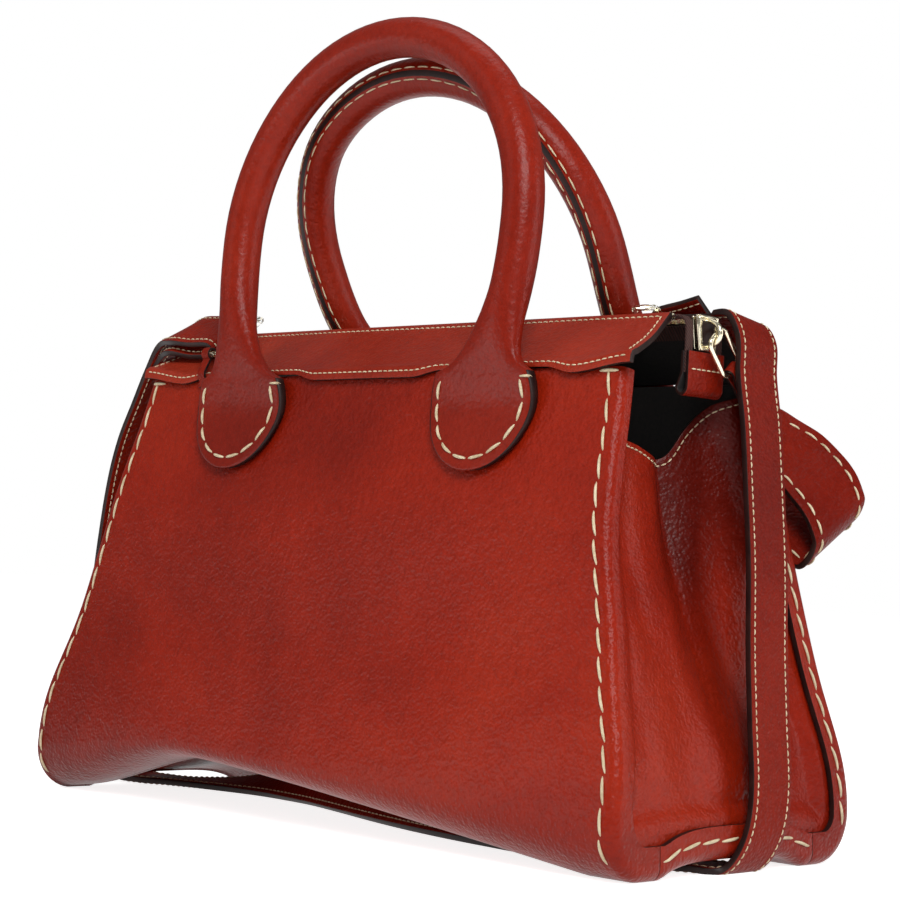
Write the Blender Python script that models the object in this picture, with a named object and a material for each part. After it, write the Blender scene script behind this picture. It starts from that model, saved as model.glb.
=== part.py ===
"""Leather satchel: a flared body on four soft corners, two rolled handles, an open zip top,
a long shoulder strap that passes under the body, and a wide loop behind the right end.

+X runs along the bag towards the zip slider, -Y is the near side, +Z is up.
"""
import math

import bmesh
import bpy
from mathutils import Matrix, Vector

MM = 0.001
GAP = 0.3 * MM

# Body
BASE_LENGTH = 375 * MM
END_TAPER = 27.5 * MM
TOP_LENGTH = BASE_LENGTH - 2 * END_TAPER
BASE_DEPTH = 164 * MM
SIDE_TAPER = 38 * MM
TOP_DEPTH = BASE_DEPTH - 2 * SIDE_TAPER
PANEL_HEIGHT = 200 * MM
TOP_HEM = 4 * MM
PANEL_TOP = PANEL_HEIGHT + TOP_HEM
LEATHER = 2.4 * MM
CORNER_RADIUS = 20 * MM
CORNER_SWELL = 4 * MM
SIDE_SWELL = 4 * MM
SIDE_SWELL_HEIGHT = 50 * MM
RIM_ROLL = 5 * MM
RIM_RETURN = 8 * MM
BASE_SEAM_INSET = 8 * MM
SEAM_GAP = 0.4 * MM

# Underside, arched between its corners
ARCH_RISE = 25 * MM
ARCH_LEFT_SHARE = -0.92
ARCH_PEAK_SHARE = -0.37
ARCH_RIGHT_SHARE = 0.87
ARCH_FADE = 62 * MM
ARCH_BLEND_SHARE = 0.16
CENTRE_RISE = 6 * MM
SEAM_FLAT_SHARE = 0.93

# Folded ends
GUSSET_DROP = 34 * MM
GUSSET_TOP = PANEL_TOP - GUSSET_DROP
GUSSET_DIP = 5 * MM
GUSSET_FOLD = 26 * MM
GUSSET_FOLD_START = 25 * MM
GUSSET_STEP = 4 * MM
GUSSET_STEP_WIDTH = 8 * MM
FLANGE_INSET = 7.5 * MM
FLANGE_GAP = 0.7 * MM

# Stiffener inside
BOARD = 2 * MM
BOARD_MARGIN = 6 * MM
BOARD_LENGTH_SHARE = 0.86

# Top flaps, parted by the open zip
YOKE_LOWER_INSET = 3 * MM
YOKE_LOWER_HALF = TOP_LENGTH / 2 - YOKE_LOWER_INSET
YOKE_UPPER_INSET = 10 * MM
YOKE_UPPER_HALF = TOP_LENGTH / 2 - YOKE_UPPER_INSET
YOKE_RISE = 25.6 * MM
YOKE_TOP = PANEL_TOP + YOKE_RISE
YOKE_FOOT_RISE = 2.2 * MM
YOKE_FOOT = PANEL_TOP + YOKE_FOOT_RISE
YOKE_LIP = 3.2 * MM
YOKE_TUCK = 1 * MM
YOKE_CURL = 3.5 * MM
SLOT_HALF = 7.4 * MM
TOOTH_PITCH = 4.6 * MM
TOOTH_LENGTH = 2.5 * MM
TOOTH_REACH = 2.4 * MM
TOOTH_DEPTH = 1.8 * MM
ROW_CORD = 1.8 * MM
TAPE = 0.8 * MM
TAPE_WIDTH = 9 * MM
YOKE_TO_ROW = 0.5 * MM

# Handles
LEG_SPACING = 158 * MM
ARCH_HALF_WIDTH = 91 * MM
CROWN_SHARE = 0.57
HANDLE_DROP = 1.2 * MM
HANDLE_START = PANEL_TOP - HANDLE_DROP
NEAR_RISE = 156 * MM
FAR_RISE = 141 * MM
NEAR_REACH = 12 * MM
FAR_REACH = 71 * MM
HANDLE_SEAT = 5.5 * MM
HANDLE_OUTSET = TOP_DEPTH / 2 + HANDLE_SEAT
TUBE_RADIUS = 9.2 * MM
HANDLE_WRAP = 1.8 * MM
CORE_GAP = 0.9 * MM
PADDLE_RADIUS = 30 * MM
PADDLE_DROP = 14 * MM
PADDLE_CENTRE = PANEL_TOP - PADDLE_DROP
CHAPE_THICKNESS = 4.6 * MM
CHAPE_DROP = 2 * MM
CHAPE_TOP = PANEL_TOP - CHAPE_DROP
FLARE_HEIGHT = 45 * MM
FLARE_HALF_WIDTH = 27 * MM
FLARE_HALF_DEPTH = 3.6 * MM
LEAN_HEIGHT_SHARES = (0.0, 0.064, 0.14, 0.234, 0.426, 0.80, 1.0)
LEAN_REACH_SHARES = (0.0, 0.014, 0.12, 0.31, 0.525, 0.89, 1.0)

# Shoulder strap and its rings
STRAP_WIDTH = 26 * MM
STRAP = 3 * MM
STRAP_RISE = 200 * MM
RING_INSET = 38 * MM
RING_X = YOKE_UPPER_HALF - RING_INSET
RING_WIRE = 3 * MM
RING_LENGTH = 36 * MM
RING_BREADTH = 16 * MM
RING_LIFT = 6.6 * MM
STRAP_ALONG = 23 * MM
RING_TAB_WIDTH = 5 * MM
RING_TAB = 1.4 * MM
RIVET_RADIUS = 3.4 * MM
RIVET_HEAD = 1.4 * MM

# Zip slider, its puller and the zip's hanging end
TAIL_HALF_WIDTH = 12 * MM
TAIL_BEND = 5 * MM
TAIL_DROP = 24 * MM
SLIDER_TOP_WIDTH = 14 * MM
SLIDER_LOW_WIDTH = 10.5 * MM
SLIDER_HEIGHT = 15 * MM
SLIDER_PLATE = 1.4 * MM
BAIL_WIRE = 1.6 * MM
BAIL_RISE = 7.3 * MM
PULL_RING_HEIGHT = 21 * MM
PULL_RING_WIDTH = 14.5 * MM
PULL_RING_WIRE = 2.2 * MM
PULL_RING_CORNER = 3.6 * MM
PULL_RING_FORWARD = 4.1 * MM
PULL_RING_TILT = 42.0
PULL_WIDTH = 6.5 * MM
PULL = 1.3 * MM
PULL_LENGTH = 22 * MM
END_TAB_WIDTH = 24 * MM
END_TAB = 1.4 * MM

# Wide loop behind the right end
LOOP_WIDTH = 38 * MM
LOOP = 2.8 * MM
LOOP_FALL = 40.0
LOOP_INSET = 51 * MM
LOOP_START_X = TOP_LENGTH / 2 - LOOP_INSET
LOOP_DROP = 34.5 * MM
LOOP_START_Z = PANEL_TOP - LOOP_DROP

NEAR = -1
FAR = 1
COGNAC = (0.30, 0.035, 0.017, 1.0)
YOKE_COGNAC = (0.34, 0.045, 0.024, 1.0)
STRAP_COGNAC = (0.26, 0.032, 0.017, 1.0)
TAPE_BROWN = (0.05, 0.012, 0.008, 1.0)
PALE_GOLD = (0.80, 0.66, 0.42, 1.0)
CORE_COTTON = (0.62, 0.55, 0.42, 1.0)


def clear_scene():
    for item in list(bpy.data.objects):
        bpy.data.objects.remove(item)


def material(name, colour, roughness, metallic=0.0):
    made = bpy.data.materials.get(name)
    if made is None:
        made = bpy.data.materials.new(name)
        made.use_nodes = True
        shader = made.node_tree.nodes["Principled BSDF"]
        shader.inputs["Base Color"].default_value = colour
        shader.inputs["Roughness"].default_value = roughness
        shader.inputs["Metallic"].default_value = metallic
    return made


def leather(part):
    colours = {"body": COGNAC, "yoke": YOKE_COGNAC, "strap": STRAP_COGNAC, "handle": COGNAC}
    return material(part + "_leather", colours[part], 0.42)


def gold():
    return material("pale_gold", PALE_GOLD, 0.25, 1.0)


def tape_fabric():
    return material("zip_tape_fabric", TAPE_BROWN, 0.8)


def mix(a, b, t):
    return a + (b - a) * t


def smooth(t):
    t = min(max(t, 0.0), 1.0)
    return t * t * (3 - 2 * t)


def interpolate(t, places, values):
    """A soft curve through the values that stand at the given places."""
    for i in range(len(places) - 1):
        if t <= places[i + 1]:
            break
    before = max(i - 1, 0)
    after = min(i + 2, len(places) - 1)
    span = places[i + 1] - places[i]
    slope_a = (values[i + 1] - values[before]) / (places[i + 1] - places[before])
    slope_b = (values[after] - values[i]) / (places[after] - places[i])
    u = (t - places[i]) / span
    return (values[i] * (1 + 2 * u) * (1 - u) ** 2 + slope_a * span * u * (1 - u) ** 2
            + values[i + 1] * u * u * (3 - 2 * u) - slope_b * span * u * u * (1 - u))


def object_from(name, points, faces, paint, sharp=35.0):
    mesh = bpy.data.meshes.new(name)
    mesh.from_pydata([tuple(p) for p in points], [], faces)
    mesh.validate()
    made = bpy.data.objects.new(name, mesh)
    bpy.context.scene.collection.objects.link(made)
    mesh.materials.append(paint)
    mesh.shade_smooth()
    mesh.set_sharp_from_angle(angle=math.radians(sharp))
    return made


def thicken(made, thickness):
    solid = made.modifiers.new("thickness", "SOLIDIFY")
    solid.thickness = thickness
    solid.offset = 0
    solid.use_even_offset = True
    solid.use_quality_normals = True
    return made


def sheet(name, rows, thickness, paint, skip=lambda row, column: False):
    """A leather or fabric sheet on a grid of mid-surface points."""
    width = len(rows[0])
    points = [point for row in rows for point in row]
    faces = []
    for r in range(len(rows) - 1):
        for c in range(width - 1):
            if not skip(r, c):
                a = r * width + c
                faces.append((a, a + 1, a + width + 1, a + width))
    return thicken(object_from(name, points, faces, paint), thickness)


def loft(name, rings, paint, sharp=35.0):
    """A closed solid through rings of points, with flat ends."""
    count = len(rings[0])
    points = [point for ring in rings for point in ring]
    faces = []
    for r in range(len(rings) - 1):
        for c in range(count):
            d = (c + 1) % count
            faces.append((r * count + c, r * count + d, (r + 1) * count + d, (r + 1) * count + c))
    faces.append(tuple(reversed(range(count))))
    last = (len(rings) - 1) * count
    faces.append(tuple(range(last, last + count)))
    made = object_from(name, points, faces, paint, sharp)
    outward(made)
    return made


def outward(made):
    mesh = bmesh.new()
    mesh.from_mesh(made.data)
    bmesh.ops.recalc_face_normals(mesh, faces=mesh.faces)
    mesh.to_mesh(made.data)
    mesh.free()


def merge_solids(name, solids, paint):
    """Joins overlapping solids into one body with exact Boolean unions."""
    base = solids[0]
    base.name = name
    for number, other in enumerate(solids[1:]):
        union = base.modifiers.new("union_%d" % number, "BOOLEAN")
        union.operation = "UNION"
        union.object = other
        other.hide_render = True
        other.display_type = "WIRE"
    base.data.materials.clear()
    base.data.materials.append(paint)
    return base


def place(made, location):
    """Puts an object's origin on a point and leaves its shape where it is."""
    made.data.transform(Matrix.Translation(-Vector(location)))
    made.location = location


# Body outline

def half_length(z):
    swell = CORNER_SWELL * math.exp(-((z - 2 * CORNER_RADIUS) / (1.3 * CORNER_RADIUS)) ** 2)
    return mix(BASE_LENGTH, TOP_LENGTH, z / PANEL_HEIGHT) / 2 + swell


def half_depth(z):
    swell = SIDE_SWELL * math.exp(-(z / SIDE_SWELL_HEIGHT - 1) ** 2)
    return mix(BASE_DEPTH, TOP_DEPTH, z / PANEL_HEIGHT) / 2 + swell


def arch(x):
    """How far the underside rises off the floor at x."""
    left = ARCH_LEFT_SHARE * BASE_LENGTH / 2
    peak = ARCH_PEAK_SHARE * BASE_LENGTH / 2
    right = ARCH_RIGHT_SHARE * BASE_LENGTH / 2
    fall = max((right - x) / (right - peak), 0.0)
    rise = smooth((x - left) / (peak - left))
    lower = (rise + fall - math.hypot(rise - fall, ARCH_BLEND_SHARE)) / 2
    return ARCH_RISE * max(lower, 0.0)


def base_rise(share):
    """How far the base stands above its seams, at a share of the way out to a seam."""
    return CENTRE_RISE * (1 - min(abs(share) / SEAM_FLAT_SHARE, 1.0) ** 4)


def lifted(x, z):
    return z + arch(x) * max(1 - z / ARCH_FADE, 0.0) ** 2


def wall_lean():
    return math.atan2((BASE_DEPTH - TOP_DEPTH) / 2, PANEL_HEIGHT)


def half_section():
    """Mid-surface from a panel's top down, round its bottom corner, to the seam under the base.

    Each entry is (distance from the middle, height, inward direction)."""
    lean = wall_lean()
    radius = CORNER_RADIUS
    inner_lean = Vector((-math.cos(lean), -math.sin(lean)))
    floor = LEATHER / 2
    centre_z = floor + radius
    wall_at_centre = half_depth(centre_z) - LEATHER / 2 / math.cos(lean)
    centre_y = wall_at_centre - radius / math.cos(lean)
    section = []
    arc_top = centre_z + radius * math.sin(lean)
    for share in (0.0, 0.12, 0.25, 0.42, 0.56, 0.68, 0.78, 0.87, 0.94):
        z = mix(PANEL_TOP, arc_top, share)
        section.append((half_depth(z) - LEATHER / 2 / math.cos(lean), z, inner_lean))
    for step in range(6):
        angle = mix(lean, -math.pi / 2, step / 5)
        away = Vector((math.cos(angle), math.sin(angle)))
        section.append((centre_y + radius * away.x, centre_z + radius * away.y, -away))
    section.append((centre_y - BASE_SEAM_INSET, floor, Vector((0.0, 1.0))))
    return section


def rolled_end(end, side, y, z, inward):
    """The end of a wrap's row: round the corner and back over the folded end."""
    turns = [math.radians(angle) for angle in (30.0, 60.0, 90.0)]
    steps = [(1 - math.sin(turn), RIM_ROLL * (1 - math.cos(turn))) for turn in turns]
    steps.append((0.0, RIM_ROLL + RIM_RETURN))
    points = []
    for back, depth in steps:
        high = z + inward.y * depth
        x = half_length(high) - LEATHER / 2 - RIM_ROLL * back
        points.append((end * x, side * (y + inward.x * depth), high))
    return points


def rolled_row(side, y, z, inward):
    """One row of a wrap: along the bag and round both of its ends."""
    flat = half_length(z) - LEATHER / 2 - RIM_ROLL
    row = rolled_end(-1, side, y, z, inward)[::-1]
    row += [(share * flat, side * y, lifted(share * flat, z)) for share in ROW_SHARES]
    return row + rolled_end(1, side, y, z, inward)


BASE_SHARES = (-1.0, -SEAM_FLAT_SHARE, -0.8, -0.55, -0.2, 0.2, 0.55, 0.8, SEAM_FLAT_SHARE, 1.0)
ROW_SHARES = (-1.0, -0.9, -0.78, -0.64, -0.5, -0.35, -0.18, 0.0, 0.2, 0.4, 0.58,
              0.73, 0.83, 0.91, 1.0)


def panel(side, name):
    rows = [rolled_row(side, y, z, inward) for y, z, inward in half_section()]
    return sheet(name, rows, LEATHER, leather("body"))


def base_panel():
    """The underside, butted to both panels and turned up at its ends into the bottom rims."""
    seam = half_section()[-1][0] - SEAM_GAP
    rows = []
    for share in BASE_SHARES:
        row = rolled_row(1, share * seam, LEATHER / 2, Vector((0.0, 1.0)))
        rows.append([(x, y, z + base_rise(share)) for x, y, z in row])
    return sheet("base_panel", rows, LEATHER, leather("body"))


def base_board():
    """The stiffener that lies on the base inside the bag."""
    seam = half_section()[-1][0]
    floor = LEATHER + 3 * GAP + BOARD / 2
    edge = 1 - BOARD_MARGIN / seam
    rows = []
    for share in [share * edge for share in BASE_SHARES[1:-1]]:
        row = []
        for x, y, z in rolled_row(1, share * seam, LEATHER / 2, Vector((0.0, 1.0))):
            if abs(x) < BOARD_LENGTH_SHARE * BASE_LENGTH / 2:
                row.append((x, y, z - LEATHER / 2 + floor + base_rise(share)))
        rows.append(row)
    return sheet("base_board", rows, BOARD, material("board_brown", TAPE_BROWN, 0.8))


def gusset(end, name):
    """A folded end, its edges lapped inside the rolled rims."""
    columns = (-1.0, -0.93, -0.82, -0.68, -0.5, -0.25, 0.0, 0.25, 0.5, 0.68, 0.82, 0.93, 1.0)
    heights = (0.0, 0.05, 0.11, 0.2, 0.32, 0.46, 0.6, 0.74, 0.88, 1.0)
    inner_radius = CORNER_RADIUS - FLANGE_INSET
    rows = []
    for height in heights:
        row = []
        for column in columns:
            low = FLANGE_INSET + base_rise(column)
            beyond = abs(column) * (half_depth(0) - FLANGE_INSET) - (
                half_depth(0) - FLANGE_INSET - inner_radius)
            if beyond > 0:
                drop = math.sqrt(max(inner_radius ** 2 - beyond ** 2, 0.0))
                low += inner_radius - drop
            high = GUSSET_TOP - GUSSET_DIP * (1 - column * column)
            z = mix(low, high, height)
            half = half_depth(z) - FLANGE_INSET
            inset = min(half * (1 - abs(column)), z - low)
            step = GUSSET_STEP * smooth((inset - GUSSET_STEP_WIDTH) / GUSSET_STEP_WIDTH)
            depth = GUSSET_FOLD * smooth((z - GUSSET_FOLD_START) / (GUSSET_TOP - GUSSET_FOLD_START))
            fold = depth * math.cos(column * math.pi / 2) ** 1.3
            x = half_length(z) - 1.5 * LEATHER - FLANGE_GAP - step - fold
            row.append((end * x, column * half, z))
        rows.append(row)
    return sheet(name, rows, LEATHER, leather("body"))


# Top flaps and the zip

def flap_slope():
    """Foot and head of a flap's outer face, and its directions up the slope and outwards."""
    foot = Vector((half_depth(PANEL_TOP), YOKE_FOOT + LEATHER / 2))
    head = Vector((SLOT_HALF + TOOTH_REACH + ROW_CORD + YOKE_TO_ROW + LEATHER / 2, YOKE_TOP))
    along = (head - foot).normalized()
    return foot, head, along, Vector((along.y, -along.x))


def on_flap(side, along, lift):
    """A point above a flap: its distance up the slope and off the outer face."""
    foot, head, direction, outwards = flap_slope()
    spot = foot + direction * along + outwards * lift
    return side * spot.x, spot.y


def yoke(side, name):
    """A flap from its lip outside the panel up to the zip.

    Each station is (share of the length, how much lip it has, how far it is tucked in)."""
    foot, head, direction, outwards = flap_slope()
    middle = foot - outwards * LEATHER / 2
    slope = (head - foot).length
    lip_y = half_depth(PANEL_TOP) + GAP + LEATHER / 2
    stations = [(-share, lip, tuck) for share, lip, tuck in reversed(YOKE_STATION_SHARES)]
    stations += YOKE_STATION_SHARES
    rows = []
    for share, lip, tuck in stations:
        x = share * YOKE_LOWER_HALF
        rise = YOKE_CURL * smooth((abs(share) - YOKE_CURL_SHARE) / (1 - YOKE_CURL_SHARE))
        low_y = lip_y - YOKE_TUCK * tuck
        low_z = PANEL_TOP + GAP + LEATHER / 4
        row = [(x, side * (low_y + lip * YOKE_LIP / 4), low_z - lip * YOKE_LIP + rise),
               (x, side * low_y, low_z + LEATHER / 4 + rise)]
        for up in (0.04, 0.22, 0.6, 1.0):
            spot = middle + direction * slope * up
            reach = share * mix(YOKE_LOWER_HALF, YOKE_UPPER_HALF, up)
            row.append((reach, side * spot.x, spot.y + rise * max(1 - 2 * up, 0.0)))
        rows.append(row)
    return sheet(name, rows, LEATHER, leather("yoke"))


YOKE_CURL_SHARE = 0.8
YOKE_STATION_SHARES = [
    (0.09, 1, 0), (0.25, 1, 0), (0.275, 0, 0), (0.3, 0, 1), (0.53, 0, 1), (0.765, 0, 1),
    (0.785, 0, 0), (0.805, 1, 0), (0.9, 1, 0), (1.0, 1, 0)]


def zip_tape(side, name):
    """Fabric strip sewn under a flap's edge, carrying its row of teeth."""
    foot, head, direction, outwards = flap_slope()
    slope = (head - foot).length
    depth = -LEATHER - GAP - TAPE / 2
    rows = []
    for share in (-1.0, -0.5, 0.0, 0.5, 1.0):
        row = []
        for along in (slope - TAPE_WIDTH, slope - GAP):
            spot = foot + direction * along + outwards * depth
            row.append((share * YOKE_UPPER_HALF, side * spot.x, spot.y))
        rows.append(row)
    return sheet(name, rows, TAPE, tape_fabric())


def box(name, centre, halves, paint):
    """A plain block."""
    corners = ((-1, -1), (1, -1), (1, 1), (-1, 1))
    rings = []
    for end in (-1, 1):
        rings.append([Vector(centre) + Vector((end * halves[0], a * halves[1], b * halves[2]))
                      for a, b in corners])
    return loft(name, rings, paint)


def tooth_row(side, name):
    """One row of metal teeth joined by the strip that carries them, as a comb."""
    height = YOKE_TOP - LEATHER / 2
    back = side * (SLOT_HALF + TOOTH_REACH + ROW_CORD)
    front = side * (SLOT_HALF + TOOTH_REACH)
    tip = side * SLOT_HALF
    count = int(2 * YOKE_UPPER_HALF / TOOTH_PITCH)
    outline = []
    for number in range(count):
        middle = (number + 0.5 - count / 2) * TOOTH_PITCH
        outline += [(middle - TOOTH_LENGTH / 2, front), (middle - TOOTH_LENGTH / 3, tip),
                    (middle + TOOTH_LENGTH / 3, tip), (middle + TOOTH_LENGTH / 2, front)]
    end = count * TOOTH_PITCH / 2
    outline += [(end, front), (end, back), (-end, back), (-end, front)]
    rings = [[(x, y, height + level) for x, y in outline]
             for level in (-TOOTH_DEPTH / 2, TOOTH_DEPTH / 2)]
    return loft(name, rings, gold(), sharp=20.0)


# Zip end, slider and puller

def tail_x():
    return YOKE_UPPER_HALF + GAP + TAIL_BEND + LEATHER


def zip_tail():
    """Both tapes' ends, bent down over the end of the bag and joined below the slider."""
    top = YOKE_TOP - LEATHER / 2
    centre_x = tail_x() - TAIL_BEND
    slit = SLIDER_TOP_WIDTH / 2 + 2 * GAP
    path = [(YOKE_UPPER_HALF + 2 * GAP, top)]
    for angle in (90.0, 60.0, 30.0, 0.0):
        turn = math.radians(angle)
        path.append((centre_x + TAIL_BEND * math.cos(turn),
                     top - TAIL_BEND + TAIL_BEND * math.sin(turn)))
    path.append((tail_x(), slider_level() - 2 * GAP))
    path.append((tail_x(), top - TAIL_DROP))
    rows = [[(x, y, z) for y in (-TAIL_HALF_WIDTH, -slit, slit, TAIL_HALF_WIDTH)] for x, z in path]
    return sheet("zip_end_tape", rows, TAPE, tape_fabric(), skip=lambda r, c: c == 1 and r < 5)


def slider_level():
    return YOKE_TOP - SLIDER_HEIGHT - LEATHER / 4


def strip(points, width, sideways=Vector((0, 1, 0))):
    """Two-edged rows for a flat strip along a path of points."""
    return [[tuple(Vector(p) - sideways * width / 2), tuple(Vector(p) + sideways * width / 2)]
            for p in points]


def end_tab():
    """Leather folded round the tape's end, closed into a small loop at its foot."""
    x = tail_x()
    step = TAPE / 2 + GAP + END_TAB / 2
    top = slider_level() - 2 * GAP
    tape_end = YOKE_TOP - LEATHER / 2 - TAIL_DROP
    foot = tape_end - 4 * END_TAB
    path = [(x - step, 0, top), (x - step, 0, tape_end)]
    for angle in (190.0, 225.0, 260.0, 295.0, 330.0, 355.0):
        turn = math.radians(angle)
        path.append((x - END_TAB + (step + END_TAB) * math.cos(turn), 0,
                     foot + 1.6 * (step + END_TAB / 2) * math.sin(turn)))
    path += [(x + step, 0, tape_end), (x + step, 0, top)]
    return sheet("zip_end_tab", strip(path, END_TAB_WIDTH), END_TAB, leather("strap"))


def plate(name, x, thickness, low_width, top_width, low, high, paint):
    """A trapezoid plate facing along X."""
    corners = ((-low_width / 2, low), (low_width / 2, low), (top_width / 2, mix(low, high, 0.72)),
               (top_width / 2, high), (-top_width / 2, high), (-top_width / 2, mix(low, high, 0.72)))
    rings = [[(x + shift, y, z) for y, z in corners] for shift in (-thickness / 2, thickness / 2)]
    return loft(name, rings, paint)


def zip_slider():
    """Front and back plates on a wedge, with a bail on the front for the ring."""
    low = slider_level()
    high = low + SLIDER_HEIGHT
    offset = TAPE / 2 + GAP + SLIDER_PLATE / 2
    x = tail_x()
    front = plate("zip_slider", x + offset, SLIDER_PLATE, SLIDER_LOW_WIDTH, SLIDER_TOP_WIDTH,
                  low, high, gold())
    back = plate("slider_back", x - offset, SLIDER_PLATE, SLIDER_LOW_WIDTH - TAPE,
                 SLIDER_TOP_WIDTH - TAPE, low + TAPE, high - TAPE, gold())
    wedge = box("slider_wedge", (x, 0, mix(low, high, 0.55)),
                (offset, SLIDER_LOW_WIDTH / 5, SLIDER_HEIGHT / 3), gold())
    bail_path = []
    for share in (0.0, 0.2, 0.4, 0.6, 0.8, 1.0):
        turn = math.pi * share
        bail_path.append((x + offset + BAIL_RISE * math.sin(turn), 0,
                          mix(low, high, 0.5) - SLIDER_HEIGHT * 0.36 * math.cos(turn)))
    bail = round_bar("slider_bail", bail_path, BAIL_WIRE / 2, gold(), sides=6)
    return merge_solids("zip_slider", [front, back, wedge, bail], gold())


def round_bar(name, path, radius, paint, sides=8, closed=False):
    """A round bar along a path, or a closed ring of bar."""
    count = len(path)
    points = []
    path = [Vector(p) for p in path]
    normal = None
    for i, spot in enumerate(path):
        before = path[i - 1] if i > 0 or closed else spot
        after = path[(i + 1) % count] if i < count - 1 or closed else spot
        tangent = (after - before).normalized()
        if normal is None:
            guide = Vector((0, 1, 0)) if abs(tangent.y) < 0.9 else Vector((1, 0, 0))
            normal = tangent.cross(guide).normalized()
        normal = (normal - tangent * normal.dot(tangent)).normalized()
        other = tangent.cross(normal)
        for s in range(sides):
            angle = 2 * math.pi * (s + 0.5) / sides
            points.append(spot + (normal * math.cos(angle) + other * math.sin(angle)) * radius)
    faces = []
    for i in range(count if closed else count - 1):
        j = (i + 1) % count
        for s in range(sides):
            t = (s + 1) % sides
            faces.append((i * sides + s, i * sides + t, j * sides + t, j * sides + s))
    if not closed:
        faces.append(tuple(reversed(range(sides))))
        faces.append(tuple(range((count - 1) * sides, count * sides)))
    made = object_from(name, points, faces, paint)
    outward(made)
    return made


def hang_point():
    """Where the puller ring's top bar hangs in the slider's bail."""
    return Vector((tail_x() + TAPE / 2 + GAP + SLIDER_PLATE + PULL_RING_FORWARD, 0,
                   slider_level() + SLIDER_HEIGHT * 0.46))


def hung(spot):
    """Turns a point below the hang point to the side on which the puller lies at rest."""
    hang = hang_point()
    return hang + Matrix.Rotation(math.radians(PULL_RING_TILT), 3, "X") @ (Vector(spot) - hang)


def puller_ring():
    """An upright ring with straight bars through the bail."""
    hang = hang_point()
    tall = PULL_RING_HEIGHT / 2 - PULL_RING_WIRE / 2 - PULL_RING_CORNER
    wide = PULL_RING_WIDTH / 2 - PULL_RING_WIRE / 2 - PULL_RING_CORNER
    middle = hang.z - tall - PULL_RING_CORNER
    path = []
    for sy, sz, start in ((1, 1, 0.0), (-1, 1, 90.0), (-1, -1, 180.0), (1, -1, 270.0)):
        for angle in (start, start + 30, start + 60, start + 90):
            turn = math.radians(angle)
            path.append(hung((hang.x, sy * wide + PULL_RING_CORNER * math.cos(turn),
                              middle + sz * tall + PULL_RING_CORNER * math.sin(turn))))
    made = round_bar("puller_ring", path, PULL_RING_WIRE / 2, gold(), sides=8, closed=True)
    place(made, hang)
    return made


def pull_hang():
    hang = hang_point()
    return hang - Vector((0, 0, PULL_RING_HEIGHT - PULL_RING_WIRE))


def leather_pull():
    """A strip folded over the foot of the ring."""
    hang = pull_hang()
    bend = PULL_RING_WIRE / 2 + 1.5 * GAP + PULL / 2
    half = PULL / 2 + GAP / 2
    path = [(-half, -PULL_LENGTH), (-half, -3 * bend)]
    for angle in (200.0, 170.0, 140.0, 110.0, 70.0, 40.0, 10.0, -20.0):
        turn = math.radians(angle)
        path.append((bend * math.cos(turn), bend * math.sin(turn)))
    path += [(half, -3 * bend), (half, -PULL_LENGTH)]
    rows = []
    for x, z in path:
        rows.append([hung(hang + Vector((x, y, z))) for y in (-PULL_WIDTH / 2, PULL_WIDTH / 2)])
    made = sheet("leather_pull", rows, PULL, leather("strap"))
    place(made, hung(hang))
    return made


# Handles

def lean_y(side, share):
    reach = NEAR_REACH if side == NEAR else FAR_REACH
    return side * (HANDLE_OUTSET - reach * interpolate(share, LEAN_HEIGHT_SHARES, LEAN_REACH_SHARES))


def handle_path(side):
    """Centre line from the left leg's foot, over the crown, to the right leg's foot."""
    rise = NEAR_RISE if side == NEAR else FAR_RISE
    legs = (0.0, 0.02, 0.05, 0.09, 0.14, 0.2, 0.27, 0.35)
    crown_start = 1 - CROWN_SHARE
    path = []
    for share in legs:
        pull_in = (ARCH_HALF_WIDTH - LEG_SPACING / 2) * (1 - share / crown_start) ** 2.2
        path.append((-(ARCH_HALF_WIDTH - pull_in), share))
    for step in range(12):
        turn = math.pi * step / 11
        path.append((-ARCH_HALF_WIDTH * math.cos(turn), crown_start + CROWN_SHARE * math.sin(turn)))
    path += [(-x, share) for x, share in reversed(path[:len(legs)])]
    return [Vector((x, lean_y(side, share), HANDLE_START + rise * share)) for x, share in path]


def handle_half_sizes(height):
    """Half width and half depth of a leg at a height above its foot."""
    flare = max(1 - height / FLARE_HEIGHT, 0.0) ** 1.5
    return (mix(TUBE_RADIUS, FLARE_HALF_WIDTH, flare), mix(TUBE_RADIUS, FLARE_HALF_DEPTH, flare))


def handle_rings(side, shrink, sides):
    """Rings along a handle, level at both feet and square to the handle above the flare."""
    path = handle_path(side)
    rings = []
    for i, spot in enumerate(path):
        before = path[max(i - 1, 0)]
        after = path[min(i + 1, len(path) - 1)]
        tangent = (after - before).normalized()
        height = spot.z - HANDLE_START
        square = smooth(height / FLARE_HEIGHT)
        level = Vector((1 if i > len(path) // 2 else -1, 0, 0))
        across = tangent.cross(Vector((0, 1, 0))).normalized()
        across = level.lerp(across, square).normalized()
        through = across.cross(tangent).normalized()
        through = Vector((0, 1, 0)).lerp(through, square).normalized()
        wide, deep = handle_half_sizes(height)
        ring = []
        for s in range(sides):
            angle = 2 * math.pi * (s + 0.5) / sides
            ring.append(spot + across * (wide - shrink) * math.cos(angle)
                        + through * (deep - shrink) * math.sin(angle))
        rings.append(ring)
    return rings


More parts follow.
